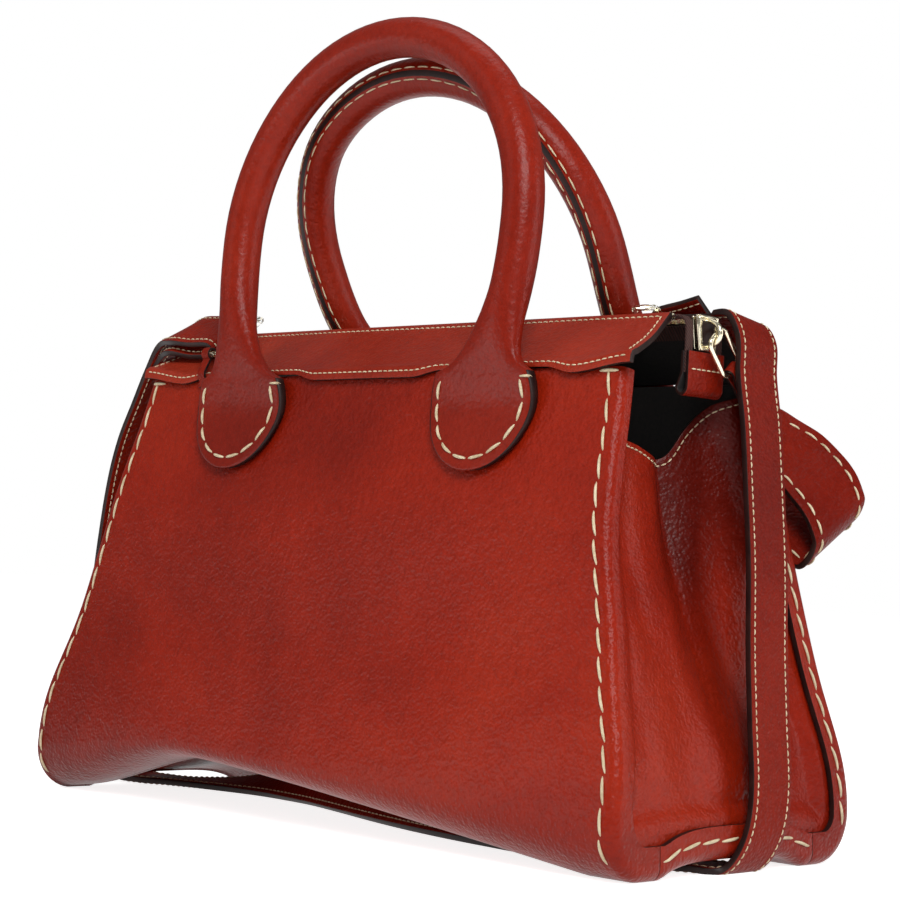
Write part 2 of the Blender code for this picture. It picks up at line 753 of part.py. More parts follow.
def handle_wrap(side, name):
    """The leather skin of a handle: a tube open at both feet round its core."""
    outer = handle_rings(side, 0.0, 12)
    inner = handle_rings(side, HANDLE_WRAP, 12)
    count = 12
    points = [p for ring in outer + inner for p in ring]
    faces = []
    layers = len(outer)
    for r in range(layers - 1):
        for c in range(count):
            d = (c + 1) % count
            a, b = r * count, (r + 1) * count
            faces.append((a + c, a + d, b + d, b + c))
            a, b = (layers + r) * count, (layers + r + 1) * count
            faces.append((a + d, a + c, b + c, b + d))
    for r in (0, layers - 1):
        for c in range(count):
            d = (c + 1) % count
            a, b = r * count, (layers + r) * count
            faces.append((a + c, b + c, b + d, a + d))
    made = object_from(name, points, faces, leather("handle"))
    outward(made)
    place(made, (0, side * HANDLE_PIVOT, HANDLE_START - GAP))
    return made


HANDLE_PIVOT = HANDLE_OUTSET + GAP


def handle_core(side, name):
    """Cotton rope filling, stopped just inside each foot."""
    rings = handle_rings(side, HANDLE_WRAP + CORE_GAP, 8)[1:-1]
    made = loft(name, rings, material("core_cotton", CORE_COTTON, 0.9))
    place(made, (0, side * HANDLE_PIVOT, HANDLE_START - GAP))
    return made


def chape(side, end, name):
    """The round foot of a handle leg, sewn flat on the panel."""
    lean = wall_lean()
    top = CHAPE_TOP - PADDLE_CENTRE
    start = math.asin(top / PADDLE_RADIUS)
    outline = []
    for step in range(19):
        angle = mix(math.pi - start, 2 * math.pi + start, step / 18)
        outline.append((end * LEG_SPACING / 2 + PADDLE_RADIUS * math.cos(angle),
                        PADDLE_CENTRE + PADDLE_RADIUS * math.sin(angle)))
    rings = []
    for off in (GAP, GAP + CHAPE_THICKNESS):
        rings.append([(x, side * (half_depth(z) + off / math.cos(lean)), z) for x, z in outline])
    made = loft(name, rings, leather("handle"))
    edge = made.modifiers.new("edge", "BEVEL")
    edge.width = CHAPE_THICKNESS / 5
    edge.segments = 1
    edge.limit_method = "ANGLE"
    edge.angle_limit = math.radians(60)
    return made


# Shoulder strap

def flap_tilt():
    direction = flap_slope()[2]
    return math.degrees(math.atan2(direction.y, -direction.x))


def ring_spot(side):
    """Centre of a strap ring, above a flap's outer end."""
    y, z = on_flap(side, STRAP_ALONG, RING_LIFT)
    return Vector((side * RING_X, y, z))


def strap_height(share):
    """Up to the panel's height a share of it, and above it a share of one fixed rise."""
    return min(share, 1.0) * PANEL_HEIGHT + max(share - 1, 0.0) * STRAP_RISE


def strap_stations():
    """The strap's centre line and the tilt of its width, from the right end to the left end.

    Both ends turn round a ring bar; the right end lies over the strap, the left end under it."""
    turn = RING_WIRE / 2 + GAP + STRAP / 2
    bar = RING_X + RING_BREADTH / 2 - RING_WIRE / 2
    tilt = flap_tilt()
    stations = []

    def over(side, x, along, lift, angle):
        y, z = on_flap(side, along, lift)
        stations.append((Vector((x, y, z)), angle))

    over(FAR, bar + 0.78 * STRAP_WIDTH, STRAP_ALONG + STRAP, RING_LIFT + 1.6 * turn, -tilt)
    over(FAR, bar + 0.4 * STRAP_WIDTH, STRAP_ALONG + STRAP / 2, RING_LIFT + 1.2 * turn, -tilt)
    for angle in (90.0, 135.0, 180.0, 225.0, 270.0):
        bend = math.radians(angle)
        over(FAR, bar + turn * math.cos(bend), STRAP_ALONG, RING_LIFT + turn * math.sin(bend), -tilt)
    over(FAR, bar + 0.6 * STRAP_WIDTH, STRAP_ALONG, RING_LIFT - 0.95 * turn, -tilt)
    over(FAR, bar + 1.1 * STRAP_WIDTH, STRAP_ALONG, RING_LIFT - 0.6 * turn, -tilt * 0.85)
    for x_out, y_share, z_share, angle in STRAP_RIGHT_SHARES:
        z = strap_height(z_share)
        x = half_length(min(z, PANEL_TOP)) + STRAP / 2 + x_out * STRAP_WIDTH
        stations.append((Vector((x, y_share * BASE_DEPTH / 2, z)), angle))
    for x_share, y_share, z_share, angle in STRAP_UNDER_SHARES:
        rise = STRAP_WIDTH / 2 * math.sin(math.radians(angle))
        z = STRAP / 2 + 2 * GAP + rise + z_share * STRAP_WIDTH
        stations.append((Vector((x_share * BASE_LENGTH / 2, y_share * BASE_DEPTH / 2, z)), angle))
    for x_out, y_share, z_share, angle in STRAP_LEFT_SHARES:
        z = strap_height(z_share)
        x = -half_length(min(z, PANEL_TOP)) - STRAP / 2 - x_out * STRAP_WIDTH
        stations.append((Vector((x, y_share * BASE_DEPTH / 2, z)), angle))
    over(NEAR, -bar - 0.95 * STRAP_WIDTH, STRAP_ALONG, RING_LIFT + 1.35 * turn, tilt * 0.9)
    over(NEAR, -bar - 0.5 * STRAP_WIDTH, STRAP_ALONG, RING_LIFT + 1.15 * turn, tilt)
    for angle in (90.0, 45.0, 0.0, -45.0, -90.0):
        bend = math.radians(angle)
        over(NEAR, -bar + turn * math.cos(bend), STRAP_ALONG, RING_LIFT + turn * math.sin(bend), tilt)
    over(NEAR, -bar - 0.6 * STRAP_WIDTH, STRAP_ALONG, RING_LIFT - 0.95 * turn, tilt)
    over(NEAR, -bar - 1.1 * STRAP_WIDTH, STRAP_ALONG - STRAP / 2, RING_LIFT - 0.4 * turn, 0.8 * tilt)
    for x_out, y_share, z_share, angle in STRAP_TAIL_SHARES:
        x = -half_length(PANEL_TOP) - x_out * STRAP_WIDTH
        spot = Vector((x, y_share * BASE_DEPTH / 2, strap_height(z_share)))
        stations.append((spot, angle))
    return stations


# Distance outside the end wall as a share of the strap's width, then shares of the half
# depth and the panel height, then the tilt of the strap's width in degrees.
STRAP_RIGHT_SHARES = (
    (-0.3, 0.29, 1.14, -18.0), (0.05, 0.28, 1.145, -8.0), (0.28, 0.275, 1.1, -2.0),
    (0.32, 0.27, 1.03, 0.0), (0.35, 0.272, 0.92, 0.0), (0.32, 0.272, 0.79, 0.0),
    (0.27, 0.272, 0.63, 0.0), (0.17, 0.26, 0.45, 0.0), (0.07, 0.24, 0.3, 0.0),
    (0.045, 0.2, 0.16, 0.0), (0.07, 0.13, 0.07, 0.0))
STRAP_LEFT_SHARES = (
    (0.25, -0.12, 0.02, 0.0), (0.49, -0.2, 0.09, 0.0), (0.66, -0.25, 0.2, 0.0),
    (0.95, -0.27, 0.34, 0.0), (1.12, -0.272, 0.48, 0.0), (1.15, -0.272, 0.63, 0.0),
    (1.1, -0.272, 0.78, 0.0), (0.95, -0.272, 0.88, 0.0), (0.68, -0.272, 0.97, 2.0),
    (0.36, -0.28, 1.06, 10.0), (0.0, -0.295, 1.135, 22.0))
STRAP_TAIL_SHARES = ((-0.05, -0.305, 1.105, 22.0), (0.13, -0.31, 1.06, 16.0))
# Shares of the half length and half depth, extra height as a share of the width, and tilt.
STRAP_UNDER_SHARES = (
    (0.985, 0.06, 0.0, 0.0), (0.93, -0.06, 0.0, 0.0), (0.8, -0.22, 0.0, 2.0), (0.62, -0.32, 0.0, 5.0),
    (0.42, -0.31, 0.0, 14.0), (0.2, -0.26, 0.0, 26.0), (0.0, -0.18, 0.0, 38.0),
    (-0.2, -0.07, 0.0, 48.0), (-0.38, 0.04, 0.0, 46.0), (-0.56, 0.12, 0.0, 28.0),
    (-0.74, 0.1, 0.0, 8.0), (-0.9, 0.02, 0.0, 0.0), (-0.985, -0.06, 0.0, 0.0))


def smooth_stations(stations, steps):
    """Points on a soft curve through the stations, tilt included."""
    spots = [Vector((*spot, tilt * MM)) for spot, tilt in stations]
    spans = [(b - a).length for a, b in zip(spots, spots[1:])]
    slopes = []
    for i in range(len(spots)):
        before = max(i - 1, 0)
        after = min(i + 1, len(spots) - 1)
        slopes.append((spots[after] - spots[before]) / sum(spans[before:after]))
    dense = []
    for i, span in enumerate(spans):
        for step in range(steps):
            t = step / steps
            dense.append(spots[i] * (1 + 2 * t) * (1 - t) ** 2
                         + slopes[i] * span * t * (1 - t) ** 2
                         + spots[i + 1] * t * t * (3 - 2 * t)
                         - slopes[i + 1] * span * t * t * (1 - t))
    dense.append(spots[-1])
    return [(spot.to_3d(), spot.w / MM) for spot in dense]


def shoulder_strap():
    rows = []
    for spot, tilt in smooth_stations(strap_stations(), 2):
        angle = math.radians(tilt)
        across = Vector((0, math.cos(angle), math.sin(angle)))
        rows.append([tuple(spot - across * STRAP_WIDTH / 2), tuple(spot + across * STRAP_WIDTH / 2)])
    return sheet("shoulder_strap", rows, STRAP, leather("strap"))


def strap_ring(side, name):
    """A rectangular ring lying above a flap's outer end."""
    centre = ring_spot(side)
    foot, head, direction, outwards = flap_slope()
    up = Vector((0, side * direction.x, direction.y))
    along = Vector((1, 0, 0))
    half_l = RING_LENGTH / 2 - RING_WIRE / 2
    half_b = RING_BREADTH / 2 - RING_WIRE / 2
    corner = RING_WIRE * 0.8
    path = []
    for sx, su, turn in ((1, 1, 0.0), (-1, 1, 90.0), (-1, -1, 180.0), (1, -1, 270.0)):
        for angle in (turn, turn + 45, turn + 90):
            bend = math.radians(angle)
            path.append(centre + along * (sx * (half_b - corner) + corner * math.cos(bend))
                        + up * (su * (half_l - corner) + corner * math.sin(bend)))
    return round_bar(name, path, RING_WIRE / 2, gold(), sides=8, closed=True)


def ring_tab(side, name):
    """A leather tab from the panel's top edge, over the flap's foot, round the ring's low bar."""
    centre = ring_spot(side)
    x = centre.x + side * RING_TAB
    bar_along = STRAP_ALONG - RING_LENGTH / 2 + RING_WIRE / 2
    turn = RING_WIRE / 2 + GAP + RING_TAB / 2
    path = []
    for drop in (3 * RING_TAB, RING_TAB / 2):
        z = PANEL_TOP - drop
        path.append((x, side * (half_depth(z) + 2 * GAP + RING_TAB / 2), z))
    for rise in (RING_TAB, 2.5 * RING_TAB):
        y = half_depth(PANEL_TOP) + 2 * GAP + LEATHER - YOKE_TUCK + GAP + RING_TAB / 2
        path.append((x, side * y, PANEL_TOP + rise))
    for angle in (215.0, 180.0, 145.0, 110.0, 75.0, 40.0, 5.0, -30.0):
        bend = math.radians(angle)
        y, z = on_flap(side, bar_along + turn * math.cos(bend), RING_LIFT + turn * math.sin(bend))
        path.append((x, y, z))
    return sheet(name, strip(path, RING_TAB_WIDTH, Vector((1, 0, 0))), RING_TAB, leather("strap"))


def rivet(side, name):
    """A domed stud that closes the strap's turned end."""
    stations = smooth_stations(strap_stations(), 2)
    spot, tilt = stations[1] if side == FAR else stations[-6]
    ahead = stations[2][0] if side == FAR else stations[-5][0]
    angle = math.radians(tilt)
    across = Vector((0, math.cos(angle), math.sin(angle)))
    normal = (ahead - spot).normalized().cross(across).normalized()
    if normal.z < 0:
        normal.negate()
    base = spot + normal * (STRAP / 2 + GAP)
    other = normal.cross(across)
    rings = []
    for height, radius in ((0.0, 1.0), (0.45, 0.95), (0.85, 0.65), (1.0, 0.3)):
        ring = []
        for step in range(12):
            turn = 2 * math.pi * step / 12
            reach = (across * math.cos(turn) + other * math.sin(turn)) * RIVET_RADIUS * radius
            ring.append(base + normal * RIVET_HEAD * height + reach)
        rings.append(ring)
    return loft(name, rings, gold())


# Wide loop

# The loop's inner edge from the upper sewn end, round the fold, to the lower sewn end. Each entry
# is (distance along the bag, off the far panel, height) as shares of the loop's width, and how far
# the width has turned from lying on the panel to standing out from it.
LOOP_SHARES = (
    (0.0, 0.045, 0.0, 0.0), (0.32, 0.058, -0.055, 0.35), (0.74, 0.09, -0.074, 0.75),
    (1.1, 0.27, -0.145, 1.0), (1.42, 0.24, -0.41, 1.0), (1.58, 0.21, -0.59, 1.0),
    (1.68, 0.175, -0.78, 1.0), (1.71, 0.15, -0.88, 1.0), (1.64, 0.12, -1.04, 1.0),
    (1.5, 0.105, -1.145, 1.0), (1.36, 0.115, -1.09, 1.0), (1.08, 0.15, -0.88, 1.0),
    (0.72, 0.155, -0.73, 0.85), (0.32, 0.15, -0.645, 0.6), (-0.1, 0.155, -0.59, 0.35),
    (-0.35, 0.165, -0.54, 0.15))
LOOP_OUT = Vector((0.08, 0.82, 0.56))


def side_loop():
    """A wide band folded on itself, sewn flat by both ends on the far panel, its fold turned out."""
    fall = math.radians(LOOP_FALL)
    flat = Vector((math.sin(fall), -math.sin(wall_lean()) * math.cos(fall), math.cos(fall)))
    origin = Vector((LOOP_START_X, 0, LOOP_START_Z))
    stations = [(Vector((x, off, z)) * LOOP_WIDTH, turn) for x, off, z, turn in LOOP_SHARES]
    rows = []
    for spot, turn in smooth_stations(stations, 2):
        wide = flat.lerp(LOOP_OUT, turn).normalized()
        edge = origin + spot
        edge.y += half_depth(edge.z)
        rows.append([tuple(edge + wide * LOOP_WIDTH * share) for share in (0.0, 0.5, 1.0)])
    return sheet("side_loop", rows, LOOP, leather("strap"))


def centre_on_floor():
    """Moves the whole bag so that the middle of its outer box is over the origin."""
    bpy.context.view_layer.update()
    graph = bpy.context.evaluated_depsgraph_get()
    lows = [math.inf, math.inf]
    highs = [-math.inf, -math.inf]
    for item in bpy.data.objects:
        if item.type != "MESH" or item.hide_render:
            continue
        shape = item.evaluated_get(graph)
        for vertex in shape.data.vertices:
            spot = shape.matrix_world @ vertex.co
            for axis in (0, 1):
                lows[axis] = min(lows[axis], spot[axis])
                highs[axis] = max(highs[axis], spot[axis])
    shift = Vector((-(lows[0] + highs[0]) / 2, -(lows[1] + highs[1]) / 2, 0))
    for item in bpy.data.objects:
        if item.parent is None:
            item.location += shift
    print("moved by", [round(value / MM, 4) for value in shift], "mm")


def build():
    clear_scene()
    panel(NEAR, "near_panel")
    panel(FAR, "far_panel")
    base_panel()
    base_board()
    gusset(1, "right_gusset")
    gusset(-1, "left_gusset")
    for side, word in ((NEAR, "near"), (FAR, "far")):
        yoke(side, word + "_yoke")
        zip_tape(side, word + "_zip_tape")
        tooth_row(side, word + "_zip_teeth")
        handle_wrap(side, word + "_handle_wrap")
        handle_core(side, word + "_handle_core")
        chape(side, -1, word + "_left_chape")
        chape(side, 1, word + "_right_chape")
    zip_tail()
    end_tab()
    zip_slider()
    puller_ring()
    leather_pull()
    shoulder_strap()
    for side, word in ((NEAR, "left"), (FAR, "right")):
        strap_ring(side, word + "_strap_ring")
        ring_tab(side, word + "_ring_tab")
        rivet(side, word + "_strap_stud")
    side_loop()
    centre_on_floor()


build()
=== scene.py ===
"""A leather satchel in soft studio light.

The CAD model is the frame. Every leather piece is modelled here as a sheet of leather on the
same outlines, with its painted edges, stitching and grain. Sizes are in metres.
"""
import math

import bmesh
import bpy
import numpy as np
from mathutils import Matrix, Vector, noise
from mathutils.bvhtree import BVHTree


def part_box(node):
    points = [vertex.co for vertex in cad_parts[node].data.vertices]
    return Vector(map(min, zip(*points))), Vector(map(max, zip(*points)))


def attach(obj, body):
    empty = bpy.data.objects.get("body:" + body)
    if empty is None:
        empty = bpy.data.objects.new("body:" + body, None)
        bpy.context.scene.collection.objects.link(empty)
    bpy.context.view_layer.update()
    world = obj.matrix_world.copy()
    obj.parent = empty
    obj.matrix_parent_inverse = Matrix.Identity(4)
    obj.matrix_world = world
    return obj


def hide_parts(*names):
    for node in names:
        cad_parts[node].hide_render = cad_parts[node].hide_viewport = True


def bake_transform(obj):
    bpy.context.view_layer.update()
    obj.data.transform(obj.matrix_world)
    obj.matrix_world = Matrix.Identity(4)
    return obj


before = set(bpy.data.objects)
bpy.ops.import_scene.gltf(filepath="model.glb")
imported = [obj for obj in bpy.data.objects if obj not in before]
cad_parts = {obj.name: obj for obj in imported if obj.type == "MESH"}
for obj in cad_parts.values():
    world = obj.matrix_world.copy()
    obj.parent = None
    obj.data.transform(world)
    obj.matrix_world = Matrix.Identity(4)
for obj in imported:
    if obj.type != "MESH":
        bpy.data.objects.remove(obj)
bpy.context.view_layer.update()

MM = 0.001
GAP = 0.3 * MM
NEAR = -1
FAR = 1

# The CAD model's own numbers, but for the arch under the base: ARCH_RISE and ARCH_LEFT_SHARE
# make it 2 mm higher and longer to the left than the solids have it
BASE_LENGTH = 375 * MM
END_TAPER = 27.5 * MM
TOP_LENGTH = BASE_LENGTH - 2 * END_TAPER
BASE_DEPTH = 164 * MM
SIDE_TAPER = 38 * MM
TOP_DEPTH = BASE_DEPTH - 2 * SIDE_TAPER
PANEL_HEIGHT = 200 * MM
TOP_HEM = 4 * MM
PANEL_TOP = PANEL_HEIGHT + TOP_HEM
LEATHER = 2.4 * MM
CORNER_RADIUS = 20 * MM
CORNER_SWELL = 4 * MM
SIDE_SWELL = 4 * MM
SIDE_SWELL_HEIGHT = 50 * MM
RIM_ROLL = 5 * MM
RIM_RETURN = 8 * MM
BASE_SEAM_INSET = 8 * MM
SEAM_GAP = 0.4 * MM
ARCH_RISE = 27 * MM
ARCH_LEFT_SHARE = -1.05
ARCH_PEAK_SHARE = -0.37
ARCH_RIGHT_SHARE = 0.87
ARCH_FADE = 62 * MM
ARCH_BLEND_SHARE = 0.16
CENTRE_RISE = 6 * MM
SEAM_FLAT_SHARE = 0.93
GUSSET_DROP = 34 * MM
GUSSET_TOP = PANEL_TOP - GUSSET_DROP
GUSSET_FOLD = 26 * MM
GUSSET_FOLD_START = 25 * MM
GUSSET_STEP = 4 * MM
GUSSET_STEP_WIDTH = 8 * MM
FLANGE_INSET = 7.5 * MM
FLANGE_GAP = 0.7 * MM
YOKE_LOWER_INSET = 3 * MM
YOKE_LOWER_HALF = TOP_LENGTH / 2 - YOKE_LOWER_INSET
YOKE_UPPER_INSET = 10 * MM
YOKE_UPPER_HALF = TOP_LENGTH / 2 - YOKE_UPPER_INSET
YOKE_RISE = 25.6 * MM
YOKE_TOP = PANEL_TOP + YOKE_RISE
YOKE_FOOT_RISE = 2.2 * MM
YOKE_FOOT = PANEL_TOP + YOKE_FOOT_RISE
YOKE_LIP = 3.2 * MM
YOKE_TUCK = 1 * MM
YOKE_CURL = 3.5 * MM
SLOT_HALF = 7.4 * MM
TOOTH_REACH = 2.4 * MM
ROW_CORD = 1.8 * MM
YOKE_TO_ROW = 0.5 * MM
LEG_SPACING = 158 * MM
ARCH_HALF_WIDTH = 91 * MM
CROWN_SHARE = 0.57
HANDLE_DROP = 1.2 * MM
HANDLE_START = PANEL_TOP - HANDLE_DROP
NEAR_RISE = 156 * MM
FAR_RISE = 141 * MM
NEAR_REACH = 12 * MM
FAR_REACH = 71 * MM
HANDLE_SEAT = 5.5 * MM
HANDLE_OUTSET = TOP_DEPTH / 2 + HANDLE_SEAT
TUBE_RADIUS = 9.2 * MM
PADDLE_RADIUS = 30 * MM
PADDLE_DROP = 14 * MM
PADDLE_CENTRE = PANEL_TOP - PADDLE_DROP
CHAPE_THICKNESS = 4.6 * MM
FLARE_HEIGHT = 45 * MM
FLARE_HALF_DEPTH = 3.6 * MM
LEAN_HEIGHT_SHARES = (0.0, 0.064, 0.14, 0.234, 0.426, 0.80, 1.0)
LEAN_REACH_SHARES = (0.0, 0.014, 0.12, 0.31, 0.525, 0.89, 1.0)
STRAP_WIDTH = 26 * MM
STRAP = 3 * MM
STRAP_RISE = 200 * MM
RING_INSET = 38 * MM
RING_X = YOKE_UPPER_HALF - RING_INSET
RING_WIRE = 3 * MM
RING_LENGTH = 36 * MM
RING_BREADTH = 16 * MM
RING_LIFT = 6.6 * MM
STRAP_ALONG = 23 * MM
RING_TAB_WIDTH = 5 * MM
RING_TAB = 1.4 * MM
TAPE = 0.8 * MM
TAIL_BEND = 5 * MM
TAIL_DROP = 24 * MM
SLIDER_TOP_WIDTH = 14 * MM
SLIDER_LOW_WIDTH = 10.5 * MM
SLIDER_HEIGHT = 15 * MM
SLIDER_PLATE = 1.4 * MM
BAIL_RISE = 7.3 * MM
PULL_RING_HEIGHT = 21 * MM
PULL_RING_WIDTH = 14.5 * MM
PULL_RING_WIRE = 2.2 * MM
PULL_RING_CORNER = 3.6 * MM
PULL_RING_FORWARD = 4.1 * MM
PULL_RING_TILT = 42.0
PULL_WIDTH = 6.5 * MM
PULL = 1.3 * MM
PULL_LENGTH = 22 * MM
END_TAB_WIDTH = 24 * MM
END_TAB = 1.4 * MM
LOOP_WIDTH = 38 * MM
LOOP = 2.8 * MM
LOOP_FALL = 40.0
LOOP_INSET = 51 * MM
LOOP_START_X = TOP_LENGTH / 2 - LOOP_INSET
LOOP_DROP = 34.5 * MM
LOOP_START_Z = PANEL_TOP - LOOP_DROP
LOOP_STITCH_INSET = 4.6 * MM

# The design's middle stands beside the middle of the whole box, because of the strap and loop
near_lo, near_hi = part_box("near_panel")
far_lo, far_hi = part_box("far_panel")
SHIFT = Vector(((near_lo.x + near_hi.x) / 2, (near_lo.y + far_hi.y) / 2, 0))


# Camera and light

VIEW_YAW, VIEW_PITCH, VIEW_ROLL = 0.772, -0.048, 0.048
VIEW_CENTRE = Vector((0, 0, 0.150))
VIEW_OFFSET_ACROSS = 0.010122
VIEW_OFFSET_UP = 0.0225
VIEW_DISTANCE = 1.071082
SENSOR_WIDTH = 36
FOCAL_PIXELS = 2301.077
PICTURE_PIXELS = 900
WHITE = (1, 1, 1, 1)
FLOOR_GREY = (0.86, 0.86, 0.86, 1)
FLOOR_GLOW = 0.845
FLOOR_HALF = 6.0
SKY_LIGHT = 0.2
LAMP_AIM = Vector((0, 0, 0.16))


def make_camera():
    """Sets the camera up and gives the direction from the bag back to it."""
    back = Vector((math.sin(VIEW_YAW) * math.cos(VIEW_PITCH),
                   -math.cos(VIEW_YAW) * math.cos(VIEW_PITCH), math.sin(VIEW_PITCH)))
    right = (-back).cross(Vector((0, 0, 1))).normalized()
    up = right.cross(-back)
    across = right * math.cos(VIEW_ROLL) + up * math.sin(VIEW_ROLL)
    upward = up * math.cos(VIEW_ROLL) - right * math.sin(VIEW_ROLL)
    target = SHIFT + VIEW_CENTRE + across * VIEW_OFFSET_ACROSS + upward * VIEW_OFFSET_UP
    data = bpy.data.cameras.new("camera")
    data.sensor_width = SENSOR_WIDTH
    data.lens = SENSOR_WIDTH * FOCAL_PIXELS / PICTURE_PIXELS
    data.clip_start = 0.05
    camera = bpy.data.objects.new("camera", data)
    bpy.context.scene.collection.objects.link(camera)
    turn = Matrix((across, upward, back)).transposed().to_4x4()
    camera.matrix_world = Matrix.Translation(target + back * VIEW_DISTANCE) @ turn
    bpy.context.scene.camera = camera
    return back


def area_light(name, spot, aim, size, power):
    data = bpy.data.lights.new(name, "AREA")
    data.shape = "RECTANGLE"
    data.size, data.size_y = size
    data.energy = power
    lamp = bpy.data.objects.new(name, data)
    bpy.context.scene.collection.objects.link(lamp)
    lamp.location = spot
    lamp.rotation_euler = (aim - spot).to_track_quat("-Z", "Y").to_euler()


def new_tree(owner):
    owner.use_nodes = True
    owner.node_tree.nodes.clear()
    return owner.node_tree


def wire(tree, kind, inputs=None, **options):
    """A node with its options set, and each input given a value or linked to an output."""
    made = tree.nodes.new(kind)
    for key, option in options.items():
        setattr(made, key, option)
    for key, value in (inputs or {}).items():
        if isinstance(value, bpy.types.NodeSocket):
            tree.links.new(value, made.inputs[key])
        else:
            made.inputs[key].default_value = value
    return made


def white_surround(name):
    """A pale diffuse floor that keeps shadows; the camera and mirrors see its lit part as white."""
    material = bpy.data.materials.new(name)
    tree = new_tree(material)
    path = wire(tree, "ShaderNodeLightPath")
    level = path.outputs["Is Camera Ray"]
    for ray in ("Is Glossy Ray", "Is Transmission Ray"):
        level = wire(tree, "ShaderNodeMath", {0: level, 1: path.outputs[ray]},
                     operation="MAXIMUM").outputs[0]
    level = wire(tree, "ShaderNodeMath", {0: level, 1: FLOOR_GLOW}, operation="MULTIPLY").outputs[0]
    diffuse = wire(tree, "ShaderNodeBsdfDiffuse", {"Color": FLOOR_GREY})
    glow = wire(tree, "ShaderNodeEmission", {"Color": WHITE, "Strength": level})
    both = wire(tree, "ShaderNodeAddShader", {0: diffuse.outputs[0], 1: glow.outputs[0]})
    wire(tree, "ShaderNodeOutputMaterial", {0: both.outputs[0]})
    return material


def make_stage(back):
    world = bpy.data.worlds.new("studio")
    bpy.context.scene.world = world
    tree = new_tree(world)
    path = wire(tree, "ShaderNodeLightPath")
    level = wire(tree, "ShaderNodeMapRange", {"Value": path.outputs["Is Camera Ray"],
                                              "To Min": SKY_LIGHT, "To Max": 1.0})
    sky = wire(tree, "ShaderNodeBackground", {"Color": WHITE, "Strength": level.outputs[0]})
    wire(tree, "ShaderNodeOutputWorld", {0: sky.outputs[0]})

    corners = [(x * FLOOR_HALF, y * FLOOR_HALF, 0) for x, y in ((-1, -1), (1, -1), (1, 1), (-1, 1))]
    floor = link("floor", new_mesh("floor", corners, [(0, 1, 2, 3)]), white_surround("floor_white"))

    middle = SHIFT + LAMP_AIM
    left = Vector((-math.cos(VIEW_YAW), -math.sin(VIEW_YAW), 0))
    area_light("key", middle + back * 1.25 - left * 0.12 + Vector((0, 0, 0.95)), middle,
               (0.6, 0.7), 16)
    area_light("left_fill", middle + left * 1.5 + back * 0.5 + Vector((0, 0, 1.0)), middle,
               (0.8, 1.2), 2.6)
    area_light("right_fill", middle - left * 1.5 + back * 0.3 + Vector((0, 0, 0.4)), middle,
               (0.6, 1.0), 5)
    area_light("low_left", SHIFT + Vector((-0.75, -1.15, 0.08)),
               SHIFT + Vector((0.12, -0.05, 0.08)), (0.3, 0.45), 2.4)
    area_light("top", middle - back * 0.3 + Vector((0, 0, 1.7)), middle, (1.2, 0.8), 4.5)
    bpy.context.scene.view_settings.view_transform = "Standard"


# Materials

class Paint:
    """A material under way: its pattern nodes, and the shader that they end in."""

    def __init__(self, name):
        self.material = bpy.data.materials.new(name)
        self.tree = new_tree(self.material)
        self.place = self.add("ShaderNodeTexCoord").outputs["Object"]

    def add(self, kind, inputs=None, **options):
        return wire(self.tree, kind, inputs, **options)

    def noise(self, scale, detail=3.0, rough=0.55, warp=0.0):
        return self.add("ShaderNodeTexNoise", {
            "Vector": self.place, "Scale": scale, "Detail": detail, "Roughness": rough,
            "Distortion": warp}).outputs["Fac"]

    def cells(self, scale, randomness=1.0):
        return self.add("ShaderNodeTexVoronoi", {
            "Vector": self.place, "Scale": scale, "Randomness": randomness},
            feature="SMOOTH_F1").outputs["Distance"]

    def waves(self, scale, warp, direction="X"):
        return self.add("ShaderNodeTexWave", {
            "Vector": self.place, "Scale": scale, "Distortion": warp},
            bands_direction=direction).outputs["Fac"]

    def ramp(self, level, *stops):
        made = self.add("ShaderNodeValToRGB", {"Fac": level})
        while len(made.color_ramp.elements) < len(stops):
            made.color_ramp.elements.new(0.5)
        for element, (place, colour) in zip(made.color_ramp.elements, stops):
            element.position = place
            element.color = (*colour, 1)
        return made.outputs["Color"]

    def multiplied(self, colour, by, factor):
        return self.add("ShaderNodeMix", {"A": colour, "B": by, "Factor": factor},
                        data_type="RGBA", blend_type="MULTIPLY").outputs["Result"]

    def between(self, level, low, high):
        return self.add("ShaderNodeMapRange", {
            "Value": level, "To Min": low, "To Max": high}).outputs[0]

    def bump(self, height, strength, distance, below=None):
        made = self.add("ShaderNodeBump", {
            "Height": height, "Strength": strength, "Distance": distance})
        if below is not None:
            self.tree.links.new(below, made.inputs["Normal"])
        return made.outputs[0]

    def finish(self, inputs):
        shader = self.add("ShaderNodeBsdfPrincipled", inputs)
        self.add("ShaderNodeOutputMaterial", {0: shader.outputs[0]})
        return self.material


def leather(name, deep, middle, light, grain=1.0, pebble=0.0, rough=0.4, coat=0.03, gloss=0.15):
    """Dyed leather: drifting tone, fine pores, soft creases and a low sheen; the shade attribute
    darkens its colour as painted shade.
    """
    paint = Paint(name)
    tone = paint.ramp(paint.noise(7.0, 4.0, 0.6, 0.4), (0.30, deep), (0.52, middle), (0.75, light))
    fleck = paint.noise(260.0, 4.0, 0.7)
    speck = paint.ramp(fleck, (0.30, (0.72, 0.70, 0.68)), (0.62, (1.06, 1.06, 1.06)))
    # Painted shade: the per-point shade attribute multiplies the colour towards a dark red-brown.
    dark = paint.add("ShaderNodeAttribute", attribute_name="shade").outputs["Fac"]
    colour = paint.multiplied(paint.multiplied(tone, speck, 0.55), (0.34, 0.26, 0.26, 1), dark)
    pores = paint.bump(paint.cells(760.0, 0.9), 0.62 * grain, 0.0005)
    pebbles = paint.bump(paint.cells(430.0), 0.34 + 0.6 * pebble, 0.0007, pores)
    creases = paint.bump(paint.noise(90.0, 5.0, 0.62, 0.6), 0.16, 0.0016, pebbles)
    return paint.finish({
        "Base Color": colour, "Normal": creases,
        "Roughness": paint.between(fleck, rough - 0.06, rough + 0.12),
        "Coat Weight": coat, "Coat Roughness": 0.34, "Specular IOR Level": gloss})


